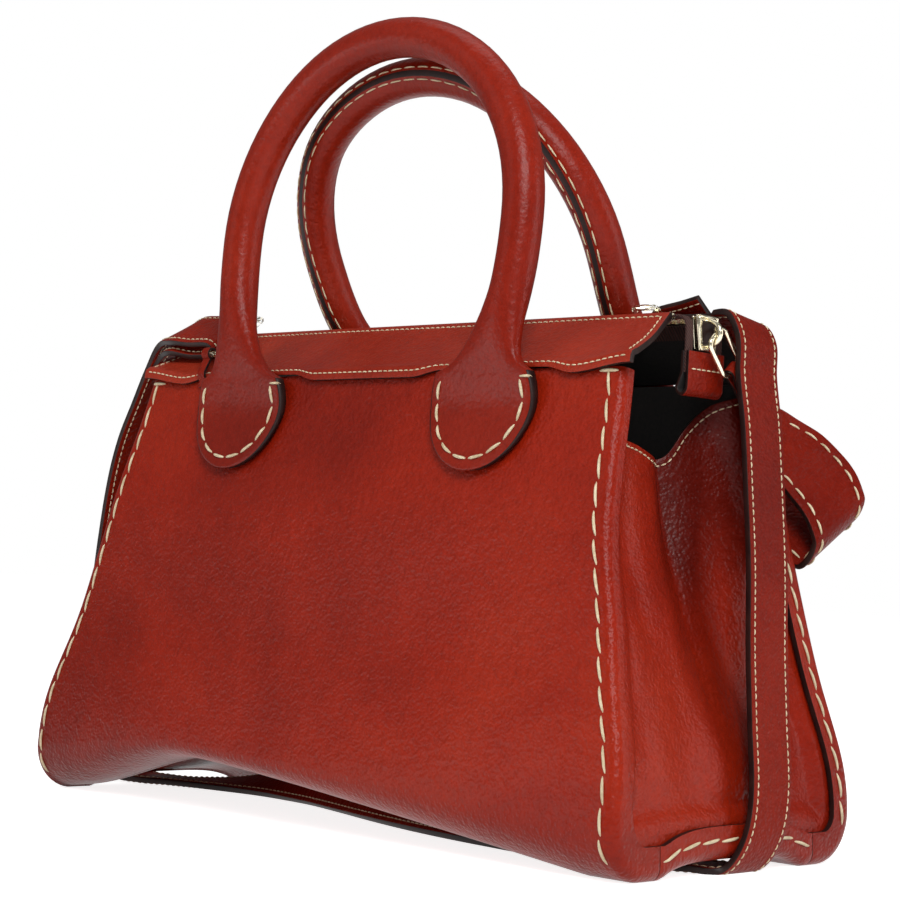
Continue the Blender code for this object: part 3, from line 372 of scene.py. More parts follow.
def plain(name, pattern, low, high, bump=None, rough=0.5, **inputs):
    """Two tones of one pattern, with a bump of its own pattern or of another one."""
    paint = Paint(name)
    draw, *numbers = pattern
    level = draw(paint, *numbers)
    inputs = {key.replace("_", " "): value for key, value in inputs.items()}
    inputs["Base Color"] = paint.ramp(level, low, high)
    if bump:
        strength, distance, *other = bump
        height = paint.noise(*other) if other else level
        inputs["Normal"] = paint.bump(height, strength, distance)
    inputs["Roughness"] = rough if isinstance(rough, float) else paint.between(level, *rough)
    return paint.finish(inputs)


BODY = leather("body_leather_fine", (0.20, 0.0080, 0.0018), (0.305, 0.0140, 0.0028),
               (0.38, 0.025, 0.0060), pebble=0.15, rough=0.32)
YOKE = leather("yoke_leather_fine", (0.24, 0.014, 0.005), (0.33, 0.025, 0.009),
               (0.39, 0.038, 0.016), grain=0.8)
HANDLE = leather("handle_leather_smooth", (0.175, 0.0075, 0.002), (0.255, 0.0125, 0.003),
                 (0.32, 0.021, 0.006), grain=0.45, rough=0.32, coat=0.08)
STRAP_RED = leather("strap_leather_grain", (0.15, 0.006, 0.0018), (0.22, 0.0105, 0.0028),
                    (0.28, 0.018, 0.006), grain=1.2, pebble=0.4, coat=0.01, gloss=0.09)
EDGE = plain("edge_paint", (Paint.noise, 120.0), (0.3, (0.010, 0.004, 0.004)),
             (0.7, (0.028, 0.010, 0.008)), (0.15, 0.0004), 0.45, Specular_IOR_Level=0.22)
LINING = plain("suede_lining", (Paint.noise, 700.0, 4.0), (0.3, (0.006, 0.005, 0.005)),
               (0.7, (0.016, 0.012, 0.011)), (0.3, 0.0004), 0.85)
THREAD = plain("waxed_thread", (Paint.noise, 300.0), (0.3, (0.54, 0.42, 0.25)),
               (0.7, (0.82, 0.70, 0.48)), (0.5, 0.0002, 2600.0, 2.0), 0.6)
GOLD = plain("pale_gold_plate", (Paint.noise, 180.0, 4.0), (0.3, (0.70, 0.62, 0.44)),
             (0.7, (0.88, 0.81, 0.63)), rough=(0.14, 0.30), Metallic=1.0)
WEAVE = plain("zip_tape_weave", (Paint.waves, 420.0, 1.5, "DIAGONAL"), (0.2, (0.018, 0.006, 0.005)),
              (0.8, (0.075, 0.020, 0.014)), (0.5, 0.0004), 0.8)
COTTON = plain("rope_core", (Paint.waves, 160.0, 2.0), (0.2, (0.38, 0.32, 0.22)),
               (0.8, (0.68, 0.60, 0.46)), rough=0.9)
LINED_BODY = (BODY, LINING, EDGE)
STRAP_BOTH = (STRAP_RED, STRAP_RED, EDGE)


# Shape helpers

def mix(a, b, t):
    return a + (b - a) * t


def spread(count, start, stop):
    """Evenly spaced values from start to stop."""
    return [mix(start, stop, i / (count - 1)) for i in range(count)]


def smooth(t):
    t = min(max(t, 0.0), 1.0)
    return t * t * (3 - 2 * t)


def hermite(a, b, slope_a, slope_b, t):
    """The cubic from a to b with the given slopes at its ends."""
    return (a * (1 + 2 * t) * (1 - t) ** 2 + slope_a * t * (1 - t) ** 2
            + b * t * t * (3 - 2 * t) - slope_b * t * t * (1 - t))


def interpolate(t, places, values):
    """A smooth curve through the values at their places."""
    for i in range(len(places) - 1):
        if t <= places[i + 1]:
            break
    before = max(i - 1, 0)
    after = min(i + 2, len(places) - 1)
    span = places[i + 1] - places[i]
    slope_a = (values[i + 1] - values[before]) / (places[i + 1] - places[before])
    slope_b = (values[after] - values[i]) / (places[after] - places[i])
    return hermite(values[i], values[i + 1], slope_a * span, slope_b * span,
                   (t - places[i]) / span)


def arc(*degrees):
    """Cosines and sines of whole degrees, which are given as for range."""
    return [(math.cos(math.radians(a)), math.sin(math.radians(a))) for a in range(*degrees)]


def stride(points, i):
    """From the point before to the one after, which stops at both ends."""
    return points[min(i + 1, len(points) - 1)] - points[max(i - 1, 0)]


def end_word(end):
    return "right" if end > 0 else "left"


def link(name, mesh, *materials):
    made = bpy.data.objects.new(name, mesh)
    bpy.context.scene.collection.objects.link(made)
    for paint in materials:
        mesh.materials.append(paint)
    return made


def new_mesh(name, points, faces):
    mesh = bpy.data.meshes.new(name)
    mesh.from_pydata([tuple(point) for point in points], [], faces)
    return mesh


def modify(made, name, kind, **options):
    modifier = made.modifiers.new(name, kind)
    for key, option in options.items():
        setattr(modifier, key, option)


def face_outwards(mesh):
    work = bmesh.new()
    work.from_mesh(mesh)
    bmesh.ops.recalc_face_normals(work, faces=work.faces)
    work.to_mesh(mesh)
    work.free()


def ring_faces(rings, sides, first=0, closed=False):
    """Quads between rings of points, with a cap on both ends where the rings aren't closed."""
    faces = []
    for i in range(rings if closed else rings - 1):
        a = first + i * sides
        b = first + (i + 1) % rings * sides
        faces += [(a + s, a + (s + 1) % sides, b + (s + 1) % sides, b + s) for s in range(sides)]
    if not closed:
        last = first + (rings - 1) * sides
        faces += [tuple(range(first + sides - 1, first - 1, -1)), tuple(range(last, last + sides))]
    return faces


def grid(name, rows, thickness, paints, edge, shade):
    """A sheet on a grid of mid-surface points; paints are for its face, back and cut edge."""
    width = len(rows[0])
    points = [Vector(point) + SHIFT for row in rows for point in row]
    faces = []
    for r in range(len(rows) - 1):
        for c in range(width - 1):
            a = r * width + c
            faces.append((a, a + 1, a + width + 1, a + width))
    mesh = new_mesh(name, points, faces)
    mesh.validate()
    mesh.shade_smooth()
    # The shade attribute holds painted shade: how far the leather's colour is darkened at each
    # point.
    layer = mesh.attributes.new("shade", "FLOAT", "POINT")
    if shade is not None:
        values = [shade(r, c) for r in range(len(rows)) for c in range(width)]
        layer.data.foreach_set("value", np.array(values, np.float32))
    made = link(name, mesh, *paints)
    modify(made, "thickness", "SOLIDIFY", thickness=thickness, offset=0, use_even_offset=True,
           use_quality_normals=True, material_offset=1, material_offset_rim=2)
    if edge:
        modify(made, "edge", "BEVEL", width=edge, segments=2, limit_method="ANGLE",
               angle_limit=math.radians(50), harden_normals=False)
    return made


def front(made, towards):
    """Turns the sheet so that its face, not its back, looks along the given direction."""
    mesh = made.data
    total = Vector((0, 0, 0))
    for polygon in mesh.polygons:
        total += polygon.normal * polygon.area
    if total.dot(Vector(towards)) < 0:
        mesh.flip_normals()


def dress(made, body, slot_name, *nodes):
    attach(made, body)
    if nodes:
        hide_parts(*nodes)


def piece(name, node, body, slot_name, rows, thickness, paints, edge=0.0, towards=None, shade=None):
    """A sheet that stands for a node, with its face turned one way where that matters."""
    made = grid(name, rows, thickness, paints, edge, shade)
    if towards is not None:
        front(made, towards)
    dress(made, body, slot_name, node)
    return made


def finished(made):
    """The evaluated mesh as a tree for laying stitches on."""
    bpy.context.view_layer.update()
    graph = bpy.context.evaluated_depsgraph_get()
    return BVHTree.FromObject(made, graph)


LAY_START = 0.03
LAY_REACH = 0.08


def laid(tree, guide, towards):
    """Points and normals where a guide line falls on a surface, seen from one side."""
    spots = []
    aim = Vector(towards).normalized()
    for point in guide:
        start = Vector(point) + SHIFT
        hit = tree.ray_cast(start + aim * LAY_START, -aim, LAY_REACH)
        if hit[0] is None:
            hit = tree.find_nearest(start)
        spots.append((hit[0], hit[1] if hit[1].dot(aim) > 0 else -hit[1]))
    return spots


# Stitches: pitch and thread radius, the share of the pitch that shows, and the slant in radii
SADDLE = dict(pitch=11.8 * MM, share=0.96, radius=0.7 * MM, slant=0.8)
MACHINE = dict(pitch=3.3 * MM, share=0.84, radius=0.34 * MM)
PANEL_TACK = dict(pitch=11.0 * MM, share=0.97, radius=0.85 * MM)
SEAM_ROW = dict(pitch=8.6 * MM, share=0.86, radius=0.4 * MM)
FOOT_ROW = dict(pitch=9.6 * MM, share=0.88, radius=0.74 * MM)
FOOT_TACK = dict(pitch=8 * MM, share=0.95, radius=0.6 * MM)
PULL_TACK = dict(pitch=5 * MM, share=0.95, radius=0.42 * MM)
LOOP_ROW = dict(pitch=9.0 * MM, share=0.8, radius=0.6 * MM)
STITCH_ALONG = 9
STITCH_SIDES = 7
STITCH_SINK = 0.35
STITCH_JITTER = 0.06
TANGENT_REACH = 0.2 * MM


def stitches(name, spots, pitch, share, radius, slant=0.0):
    """Separate stitches along a line of (point, normal), each end diving into the leather."""
    points = [Vector(p) for p, n in spots]
    normals = [Vector(n) for p, n in spots]
    lengths = [0.0]
    for a, b in zip(points, points[1:]):
        lengths.append(lengths[-1] + (b - a).length)
    total = lengths[-1]
    count = max(int(round(total / pitch)), 1)
    step = total / count
    verts = []
    faces = []

    def at(distance):
        distance = min(max(distance, 0.0), total)
        i = int(np.searchsorted(lengths, distance)) - 1
        i = min(max(i, 0), len(points) - 2)
        t = (distance - lengths[i]) / max(lengths[i + 1] - lengths[i], 1e-9)
        return points[i].lerp(points[i + 1], t), normals[i].lerp(normals[i + 1], t).normalized()

    for k in range(count):
        middle = (k + 0.5) * step
        jitter = noise.noise(Vector((k * 1.7, total * 900, 3.1)))
        half = step * share / 2 * (1 + STITCH_JITTER * jitter)
        faces += ring_faces(STITCH_ALONG, STITCH_SIDES, len(verts))
        for i in range(STITCH_ALONG):
            u = -1 + 2 * i / (STITCH_ALONG - 1)
            spot, normal = at(middle + u * half)
            ahead = at(middle + u * half + TANGENT_REACH)[0]
            behind = at(middle + u * half - TANGENT_REACH)[0]
            along = (ahead - behind).normalized()
            side = normal.cross(along).normalized()
            thick = radius * (1 - abs(u) ** 3.0 * 0.72)
            dive = 1.6 * abs(u) ** 2.6 * (1 - STITCH_SINK)
            rise = radius * (0.75 - dive - STITCH_SINK * 0.2)
            spot = spot + normal * rise + side * slant * u * radius
            for s in range(STITCH_SIDES):
                turn = 2 * math.pi * s / STITCH_SIDES
                verts.append(spot + side * math.cos(turn) * thick
                             + normal * math.sin(turn) * thick * 0.85)
    mesh = new_mesh(name, verts, faces)
    mesh.shade_smooth()
    return link(name, mesh, THREAD)


def sew(tree, name, guide, towards, kind, body="bag", slot_name="body_leather"):
    """A row of stitches along a guide line that is laid on a surface."""
    dress(stitches(name, laid(tree, guide, towards), **kind), body, slot_name)


# Body outline

def half_length(z):
    swell = CORNER_SWELL * math.exp(-((z - 2 * CORNER_RADIUS) / (1.3 * CORNER_RADIUS)) ** 2)
    return mix(BASE_LENGTH, TOP_LENGTH, z / PANEL_HEIGHT) / 2 + swell


def half_depth(z):
    swell = SIDE_SWELL * math.exp(-(z / SIDE_SWELL_HEIGHT - 1) ** 2)
    return mix(BASE_DEPTH, TOP_DEPTH, z / PANEL_HEIGHT) / 2 + swell


def arch(x):
    left = ARCH_LEFT_SHARE * BASE_LENGTH / 2
    peak = ARCH_PEAK_SHARE * BASE_LENGTH / 2
    right = ARCH_RIGHT_SHARE * BASE_LENGTH / 2
    fall = max((right - x) / (right - peak), 0.0)
    rise = smooth((x - left) / (peak - left))
    lower = (rise + fall - math.hypot(rise - fall, ARCH_BLEND_SHARE)) / 2
    return ARCH_RISE * max(lower, 0.0)


def base_rise(share):
    return CENTRE_RISE * (1 - min(abs(share) / SEAM_FLAT_SHARE, 1.0) ** 4)


def lifted(x, z):
    return z + arch(x) * max(1 - z / ARCH_FADE, 0.0) ** 2


def wall_lean():
    return math.atan2((BASE_DEPTH - TOP_DEPTH) / 2, PANEL_HEIGHT)


def half_section(walls, turns):
    lean = wall_lean()
    inner_lean = Vector((-math.cos(lean), -math.sin(lean)))
    floor = LEATHER / 2
    centre_z = floor + CORNER_RADIUS
    centre_y = half_depth(centre_z) - LEATHER / 2 / math.cos(lean) - CORNER_RADIUS / math.cos(lean)
    arc_top = centre_z + CORNER_RADIUS * math.sin(lean)
    section = []
    for step in range(walls):
        z = mix(PANEL_TOP, arc_top, step / walls)
        section.append((half_depth(z) - LEATHER / 2 / math.cos(lean), z, inner_lean))
    for step in range(turns):
        angle = mix(lean, -math.pi / 2, step / (turns - 1))
        away = Vector((math.cos(angle), math.sin(angle)))
        section.append((centre_y + CORNER_RADIUS * away.x, centre_z + CORNER_RADIUS * away.y,
                        -away))
    for share in (0.5, 1.0):
        section.append((centre_y - BASE_SEAM_INSET * share, floor, Vector((0.0, 1.0))))
    return section


def slump(x, z, seed):
    """Soft unevenness of the leather, fading towards the sewn places."""
    field = noise.noise(Vector((x * 9 + seed, z * 11, seed))) * 2.1 * MM
    field += noise.noise(Vector((x * 24, z * 20 + seed, seed))) * 0.35 * MM
    return field


# The near wall's rim is rolled tighter than the far one's: roll and return
RIMS = {NEAR: (3.4 * MM, 2.6 * MM), FAR: (RIM_ROLL, RIM_RETURN)}
RIM_SPREAD_TOP, RIM_SPREAD = 48 * MM, 33 * MM
BULGE = 3.5 * MM
BULGE_FOOT = 75 * MM
DRAWN_RIGHT, DRAWN_LEFT = 9.0 * MM, 3.5 * MM


def bulge(side, z):
    """The fullness of the near wall below the handles' feet."""
    part = min(max((z - BULGE_FOOT) / (PANEL_TOP - BULGE_FOOT), 0.0), 1.0)
    return BULGE * math.sin(math.pi * part) ** 2 if side == NEAR else 0.0


def drawn(x, y, z):
    """The near wall's upper corners are drawn together, the right one more than the left."""
    near = smooth((-y - 5 * MM) / (35 * MM))
    high = smooth((z - 0.05) / 0.1)
    outer = smooth((abs(x) / half_length(z) - 0.4) / 0.6)
    return x - (DRAWN_RIGHT if x > 0 else -DRAWN_LEFT) * near * high * outer


def rolled_end(end, side, y, z, inward, seed):
    foot = smooth((RIM_SPREAD_TOP - z) / RIM_SPREAD)
    roll, back = (mix(tight, wide, foot) for tight, wide in zip(RIMS[side], RIMS[FAR]))
    steps = [(1 - sine, roll * (1 - cosine)) for cosine, sine in arc(9, 91, 9)]
    steps += [(0.0, roll + back * part) for part in (0.25, 0.5, 0.75, 1.0)]
    waver = 0.55 * MM * noise.noise(Vector((z * 28, seed, end * 3.0)))
    points = []
    for inset, depth in steps:
        high = z + inward.y * depth
        x = half_length(high) - LEATHER / 2 - roll * inset + waver
        points.append((end * x, side * (y + inward.x * depth), high))
    return points


COLUMNS = spread(97, -1, 1)


def rolled_row(side, y, z, inward, seed=0.0, sag=0.0):
    foot = smooth((RIM_SPREAD_TOP - z) / RIM_SPREAD)
    flat = half_length(z) - LEATHER / 2 - mix(RIMS[side][0], RIM_ROLL, foot)
    row = rolled_end(-1, side, y, z, inward, seed)[::-1]
    for share in COLUMNS:
        x = share * flat
        out = sag * slump(x, z, seed) * smooth((1 - abs(share)) * 6)
        row.append((x, side * (y - inward.x * out), lifted(x, z) - inward.y * out))
    return row + rolled_end(1, side, y, z, inward, seed)


SADDLE_TOP, SADDLE_FOOT = 203 * MM, 6.5 * MM
SADDLE_INSET = 6.6 * MM
TACK_HEIGHT = 202.5 * MM
FAR_ROW_TOP, FAR_ROW_FOOT = 198 * MM, 16 * MM
FAR_ROW_INSET = 9.5 * MM


def make_panel(side, name):
    """A long wall, with saddle stitches and a tack on both rims; the far one has a second row."""
    section = half_section(52, 16)
    rows = []
    for y, z, inward in section:
        sag = smooth((0.150 - z) / 0.05) * smooth((z - 0.01) / 0.03)
        row = rolled_row(side, y + bulge(side, z), z, inward, 4.0 + side, sag)
        rows.append([(drawn(*spot), spot[1], spot[2]) for spot in row])
    middle = (len(rows[0]) - 1) / 2

    # Painted shade: the wall's colour is darker near the floor and towards its rolled ends.
    def shade(r, c):
        low = smooth((0.045 - section[r][1]) / 0.045) * 0.30
        rim = smooth((abs(c - middle) / middle - 0.9) / 0.1) * 0.15
        return min(low + rim, 1.0)

    node = "near_panel" if side == NEAR else "far_panel"
    tree = finished(piece(name, node, "bag", "body_leather", rows, LEATHER, LINED_BODY,
                          0.35 * MM, (0, side, 0), shade))
    for end in (-1, 1):
        word = end_word(end)
        guide = []
        for z in spread(60, SADDLE_TOP, SADDLE_FOOT):
            inset = SADDLE_INSET + 0.6 * MM * noise.noise(Vector((z * 30, side, end)))
            y = side * half_depth(z)
            guide.append((drawn(end * half_length(z), y, z) - end * inset, y, z))
        sew(tree, "%s_saddle_%s" % (name, word), guide, (0, side, -0.12), SADDLE)
        y = side * half_depth(TACK_HEIGHT)
        outer = drawn(end * half_length(TACK_HEIGHT), y, TACK_HEIGHT)
        tack = [(outer - end * inset * MM, y, TACK_HEIGHT - 0.1 * MM)
                for inset in spread(4, 1.6, 12.5)]
        sew(tree, "%s_tack_%s" % (name, word), tack, (0, side, 0), PANEL_TACK)
        if side == FAR:
            guide = [(end * half_length(z), half_depth(z) - FAR_ROW_INSET, z)
                     for z in spread(60, FAR_ROW_TOP, FAR_ROW_FOOT)]
            sew(tree, "far_rim_saddle_" + word, guide, (end, 0, 0), SADDLE)


def make_base():
    seam = half_section(4, 4)[-1][0] - SEAM_GAP
    rows = []
    for share in spread(41, -1, 1):
        row = rolled_row(1, share * seam, LEATHER / 2, Vector((0.0, 1.0)), 9.0)
        rows.append([(x, y, z + base_rise(share)) for x, y, z in row])
    # Painted shade: the whole base sheet is darkened by a quarter of the shade tint.
    tree = finished(piece("base_sheet", "base_panel", "bag", "body_leather", rows, LEATHER,
                          LINED_BODY, 0.35 * MM, (0, 0, -1), lambda r, c: 0.25))
    for end in (-1, 1):
        guide = [(end * half_length(8 * MM), share * seam, 8.5 * MM + base_rise(share))
                 for share in spread(40, -0.97, 0.97)]
        sew(tree, "base_saddle_" + end_word(end), guide, (end, 0, 0), SADDLE)


BOARD = 2 * MM
BOARD_WIDTH_SHARE = 0.82
BOARD_LENGTH_SHARE = 0.84


def make_board():
    seam = half_section(4, 4)[-1][0]
    floor = LEATHER + 3 * GAP + BOARD / 2
    rows = []
    for share in spread(25, -BOARD_WIDTH_SHARE, BOARD_WIDTH_SHARE):
        xs = [along * BASE_LENGTH / 2
              for along in spread(61, -BOARD_LENGTH_SHARE, BOARD_LENGTH_SHARE)]
        rows.append([(x, share * seam, lifted(x, floor) + base_rise(share)) for x in xs])
    piece("stiffener", "base_board", "bag", "board_brown", rows, BOARD, (LINING, LINING, LINING))


# The top edge of a gusset above its fold, in shares of the way from the near rim to the far one
TOP_PLACE_SHARES = (-1.0, -0.5, -0.12, 0.12, 0.35, 0.65, 1.0)
RIGHT_TOP_SHARES = (0.20, 0.13, 0.0, 0.02, 0.38, 0.70, 0.84)
LEFT_TOP_SHARES = (0.20, 0.12, 0.02, 0.02, 0.12, 0.20, 0.24)
FOLD_FOOT = 169 * MM
FOLD_RISE = 36 * MM
NEAR_FLANGE = 4.6 * MM
TOP_ROW_INSET = 2.6 * MM
TOP_ROW_X = 150 * MM
WIDE_CREASE, FINE_CREASE, RUCK = 2.2 * MM, 1.2 * MM, 1.1 * MM


def gusset_top(end, column):
    shares = RIGHT_TOP_SHARES if end > 0 else LEFT_TOP_SHARES
    return FOLD_FOOT + FOLD_RISE * interpolate(column, TOP_PLACE_SHARES, shares)


def make_gusset(end, name):
    """A folded end, with its flanges inside the rims and a machine row along its upper edge."""
    columns = spread(81, -1, 1)
    heights = spread(81, 0, 1)
    inner_radius = CORNER_RADIUS - FLANGE_INSET
    reach = half_depth(0) - FLANGE_INSET
    rows = []
    for height in heights:
        row = []
        for column in columns:
            low = FLANGE_INSET + base_rise(column)
            beyond = abs(column) * reach - (reach - inner_radius)
            if beyond > 0:
                low += inner_radius - math.sqrt(max(inner_radius ** 2 - beyond ** 2, 0.0))
            z = mix(low, gusset_top(end, column), height)
            half = half_depth(z) - FLANGE_INSET
            inset = min(half * (1 - abs(column)), z - low)
            step = GUSSET_STEP * smooth((inset - GUSSET_STEP_WIDTH) / GUSSET_STEP_WIDTH)
            depth = GUSSET_FOLD * smooth((z - GUSSET_FOLD_START) / (GUSSET_TOP - GUSSET_FOLD_START))
            fold = depth * (0.55 * math.cos(column * math.pi / 2) ** 1.3 +
                            0.45 * math.exp(-abs(column - 0.04) / 0.30) * (1 - column ** 2))
            free = smooth((inset - 9 * MM) / (14 * MM))
            y = column * half - (FLANGE_INSET - NEAR_FLANGE) * smooth(-column)
            y -= bulge(NEAR, z) * smooth(-column)
            crease = WIDE_CREASE * noise.noise(Vector((y * 34 + end, z * 15, 2.0 * end)))
            crease += FINE_CREASE * noise.noise(Vector((y * 70, z * 26 + end, 5.0)))
            ruck = smooth((abs(column) - 0.45) / 0.3) * smooth((1 - abs(column)) / 0.15)
            crease += RUCK * ruck * noise.noise(Vector((y * 40, z * 120, 8.0)))
            x = half_length(z) - 1.5 * LEATHER - FLANGE_GAP - step - fold + crease * free
            row.append((drawn(end * x, y, z), y, z))
        rows.append(row)

    # Painted shade: darker over the upper far half, where the strap's shadow and the fold fall, and
    # along the fold's valley; a little everywhere else.
    def shade(r, c):
        high = smooth((heights[r] - 0.45) / 0.5)
        far_half = smooth((columns[c] + 0.02) / 0.2)
        valley = math.exp(-((columns[c] - 0.14) / 0.18) ** 2)
        return min(0.08 + 0.95 * far_half * high + 0.5 * valley * smooth(heights[r] / 0.3), 0.95)

    tree = finished(piece(name + "_sheet", name, "bag", "body_leather", rows, LEATHER, LINED_BODY,
                          0.3 * MM, (end, 0, 0), shade))
    guide = []
    for column in spread(140, -0.985, 0.985):
        z = gusset_top(end, column) - TOP_ROW_INSET
        guide.append((end * TOP_ROW_X, column * (half_depth(z) - FLANGE_INSET), z))
    sew(tree, name + "_top_stitch", guide, (end, 0, 0), MACHINE)


# Top flaps

def flap_slope():
    foot = Vector((half_depth(PANEL_TOP), YOKE_FOOT + LEATHER / 2))
    head = Vector((SLOT_HALF + TOOTH_REACH + ROW_CORD + YOKE_TO_ROW + LEATHER / 2, YOKE_TOP))
    along = (head - foot).normalized()
    return foot, head, along, Vector((along.y, -along.x))


def on_flap(side, along, lift):
    foot, _, direction, outwards = flap_slope()
    spot = foot + direction * along + outwards * lift
    return side * spot.x, spot.y


def yoke_state(share):
    """Lip and tuck at a share of the half length: tucked in only behind the handles' feet."""
    share = abs(share)
    lip = smooth((0.31 - share) / 0.11) + smooth((share - 0.695) / 0.11)
    return lip, 1 - lip


YOKE_SAG = 0.9 * MM


def yoke_lip_height(share, lip):
    """The yoke's lower edge, which curls up towards both ends of the bag."""
    rise = YOKE_CURL * smooth((abs(share) - 0.8) / 0.2)
    return PANEL_TOP + GAP + LEATHER / 4 - lip * YOKE_LIP + rise, rise


def make_yoke(side, name):
    """A sloping half of the top, with machine rows beside the zip, on the lip and at both ends."""
    foot, head, direction, outwards = flap_slope()
    middle = foot - outwards * LEATHER / 2
    slope = (head - foot).length
    lip_y = half_depth(PANEL_TOP) + GAP + LEATHER / 2
    rows = []
    for share in spread(161, -1, 1):
        lip, tuck = yoke_state(share)
        x = share * YOKE_LOWER_HALF
        low_y = lip_y - YOKE_TUCK * tuck
        edge_z, rise = yoke_lip_height(share, lip)
        wave = 0.25 * MM * noise.noise(Vector((x * 30, side, 1)))
        path = [Vector((low_y + lip * YOKE_LIP / 4, edge_z + wave)),
                Vector((low_y, PANEL_TOP + GAP + LEATHER / 2 + rise))]
        reach = [x, x]
        for up in (0.04, 0.22, 0.4, 0.6, 0.8, 1.0):
            spot = middle + direction * slope * up
            waver = noise.noise(Vector((x * 12, up, side)))
            spot = spot - outwards * (YOKE_SAG * math.sin(math.pi * up) * (0.6 + waver))
            path.append(Vector((spot.x, spot.y + rise * max(1 - 2 * up, 0.0))))
            reach.append(share * mix(YOKE_LOWER_HALF, YOKE_UPPER_HALF, up))
        row = []
        for i in range(len(path) - 1):
            p0, p1 = path[max(i - 1, 0)], path[i]
            p2, p3 = path[i + 1], path[min(i + 2, len(path) - 1)]
            span = (p2 - p1).length
            m1 = (p2 - p0) / max((p1 - p0).length + span, 1e-6) * span
            m2 = (p3 - p1) / max((p3 - p2).length + span, 1e-6) * span
            for t in (0, 1 / 3, 2 / 3):
                spot = hermite(p1, p2, m1, m2, t)
                row.append((mix(reach[i], reach[i + 1], t), side * spot.x, spot.y))
        row.append((reach[-1], side * path[-1].x, path[-1].y))
        rows.append(row)
    flap = "near_flap" if side == NEAR else "far_flap"
    tree = finished(piece(name + "_sheet", name, flap, "yoke_leather", rows, LEATHER,
                          (YOKE, LINING, EDGE), 0.35 * MM, (0, side, 1)))

    above = (0, side * 0.55, 0.83)
    y, z = on_flap(side, slope - 3.4 * MM, 0)
    guide = [(share * mix(YOKE_LOWER_HALF, YOKE_UPPER_HALF, 0.9), y, z)
             for share in spread(220, -0.975, 0.975)]
    sew(tree, name + "_zip_stitch", guide, above, MACHINE, flap, "yoke_leather")
    guide = [(share * YOKE_LOWER_HALF, side * lip_y,
              yoke_lip_height(share, yoke_state(share)[0])[0] + 2.4 * MM)
             for share in spread(260, -0.985, 0.985)]
    sew(tree, name + "_lip_stitch", guide, (0, side, 0.45), MACHINE, flap, "yoke_leather")
    for end in (-1, 1):
        guide = []
        for along in spread(24, 1.5 * MM, slope - 3 * MM):
            y, z = on_flap(side, along, 0)
            x = mix(YOKE_LOWER_HALF, YOKE_UPPER_HALF, along / slope) - 3 * MM
            guide.append((end * x, y, z))
        sew(tree, "%s_end_stitch_%s" % (name, end_word(end)), guide, above, MACHINE, flap,
            "yoke_leather")


def tail_x():
    return YOKE_UPPER_HALF + GAP + TAIL_BEND + LEATHER


def slider_level():
    return YOKE_TOP - SLIDER_HEIGHT - LEATHER / 4


def make_end_tab():
    """Leather folded round the end of the zip's tape, closed into a small loop at its foot."""
    x = tail_x()
    step = TAPE / 2 + GAP + END_TAB / 2
    top = slider_level() - 2 * GAP
    tape_end = YOKE_TOP - LEATHER / 2 - TAIL_DROP
    foot = tape_end - 4 * END_TAB
    path = [(x - step, top), (x - step, mix(top, tape_end, 0.5)), (x - step, tape_end)]
    path += [(x - END_TAB + (step + END_TAB) * cosine, foot + 1.6 * (step + END_TAB / 2) * sine)
             for cosine, sine in arc(190, 360, 10)]
    path += [(x + step, tape_end), (x + step, mix(top, tape_end, 0.5)), (x + step, top)]
    rows = [[(px, share * END_TAB_WIDTH, pz) for share in spread(13, -0.5, 0.5)] for px, pz in path]
    tree = finished(piece("zip_end_fold", "zip_end_tab", "far_flap", "strap_leather", rows, END_TAB,
                          (STRAP_RED, LINING, EDGE), 0.25 * MM, (0, 0, -1)))
    half = END_TAB_WIDTH / 2 - 2 * MM
    guide = [(x + 2 * MM, y, tape_end + 1.5 * MM) for y in spread(21, -half, half)]
    sew(tree, "zip_end_row", guide, (1, 0, 0), MACHINE, "far_flap", "strap_leather")


def hang_point():
    return Vector((tail_x() + TAPE / 2 + GAP + SLIDER_PLATE + PULL_RING_FORWARD, 0,
                   slider_level() + SLIDER_HEIGHT * 0.46))


def hung(spot):
    hang = hang_point()
    return hang + Matrix.Rotation(math.radians(PULL_RING_TILT), 3, "X") @ (Vector(spot) - hang)


TUBE_SIDES = 14


def tube(name, path, radius, closed=False, flat=1.0, paint=GOLD):
    """A smooth bar along a path of points; flat squeezes its section."""
    path = [Vector(p) for p in path]
    count = len(path)
    verts = []
    normal = None
    for i, spot in enumerate(path):
        before = path[i - 1] if i > 0 or closed else spot
        after = path[(i + 1) % count] if i < count - 1 or closed else spot
        tangent = (after - before).normalized()
        if normal is None:
            normal = tangent.orthogonal().normalized()
        normal = (normal - tangent * normal.dot(tangent)).normalized()
        other = tangent.cross(normal)
        for s in range(TUBE_SIDES):
            turn = 2 * math.pi * s / TUBE_SIDES
            verts.append(spot + SHIFT + normal * math.cos(turn) * radius
                         + other * math.sin(turn) * radius * flat)
    mesh = new_mesh(name, verts, ring_faces(count, TUBE_SIDES, closed=closed))
    mesh.shade_smooth()
    return link(name, mesh, paint)


def slab(name, outline, centre, inset, back, face, paint):
    """A bevelled plate that faces along X, its outline drawn in by an inset."""
    share = 1 - 2 * inset / SLIDER_LOW_WIDTH
    tall = 1 - 2 * inset / SLIDER_HEIGHT
    flat = [(y * share, centre + (z - centre) * tall) for y, z in outline]
    count = len(flat)
    verts = [Vector((depth, y, z)) + SHIFT for depth in (back, face) for y, z in flat]
    faces = [tuple(range(count)), tuple(range(2 * count - 1, count - 1, -1))]
    faces += [(i, (i + 1) % count, count + (i + 1) % count, count + i) for i in range(count)]
    mesh = new_mesh(name, verts, faces)
    face_outwards(mesh)
    made = link(name, mesh, paint)
    modify(made, "edge", "BEVEL", width=0.35 * MM, segments=3)
    return made


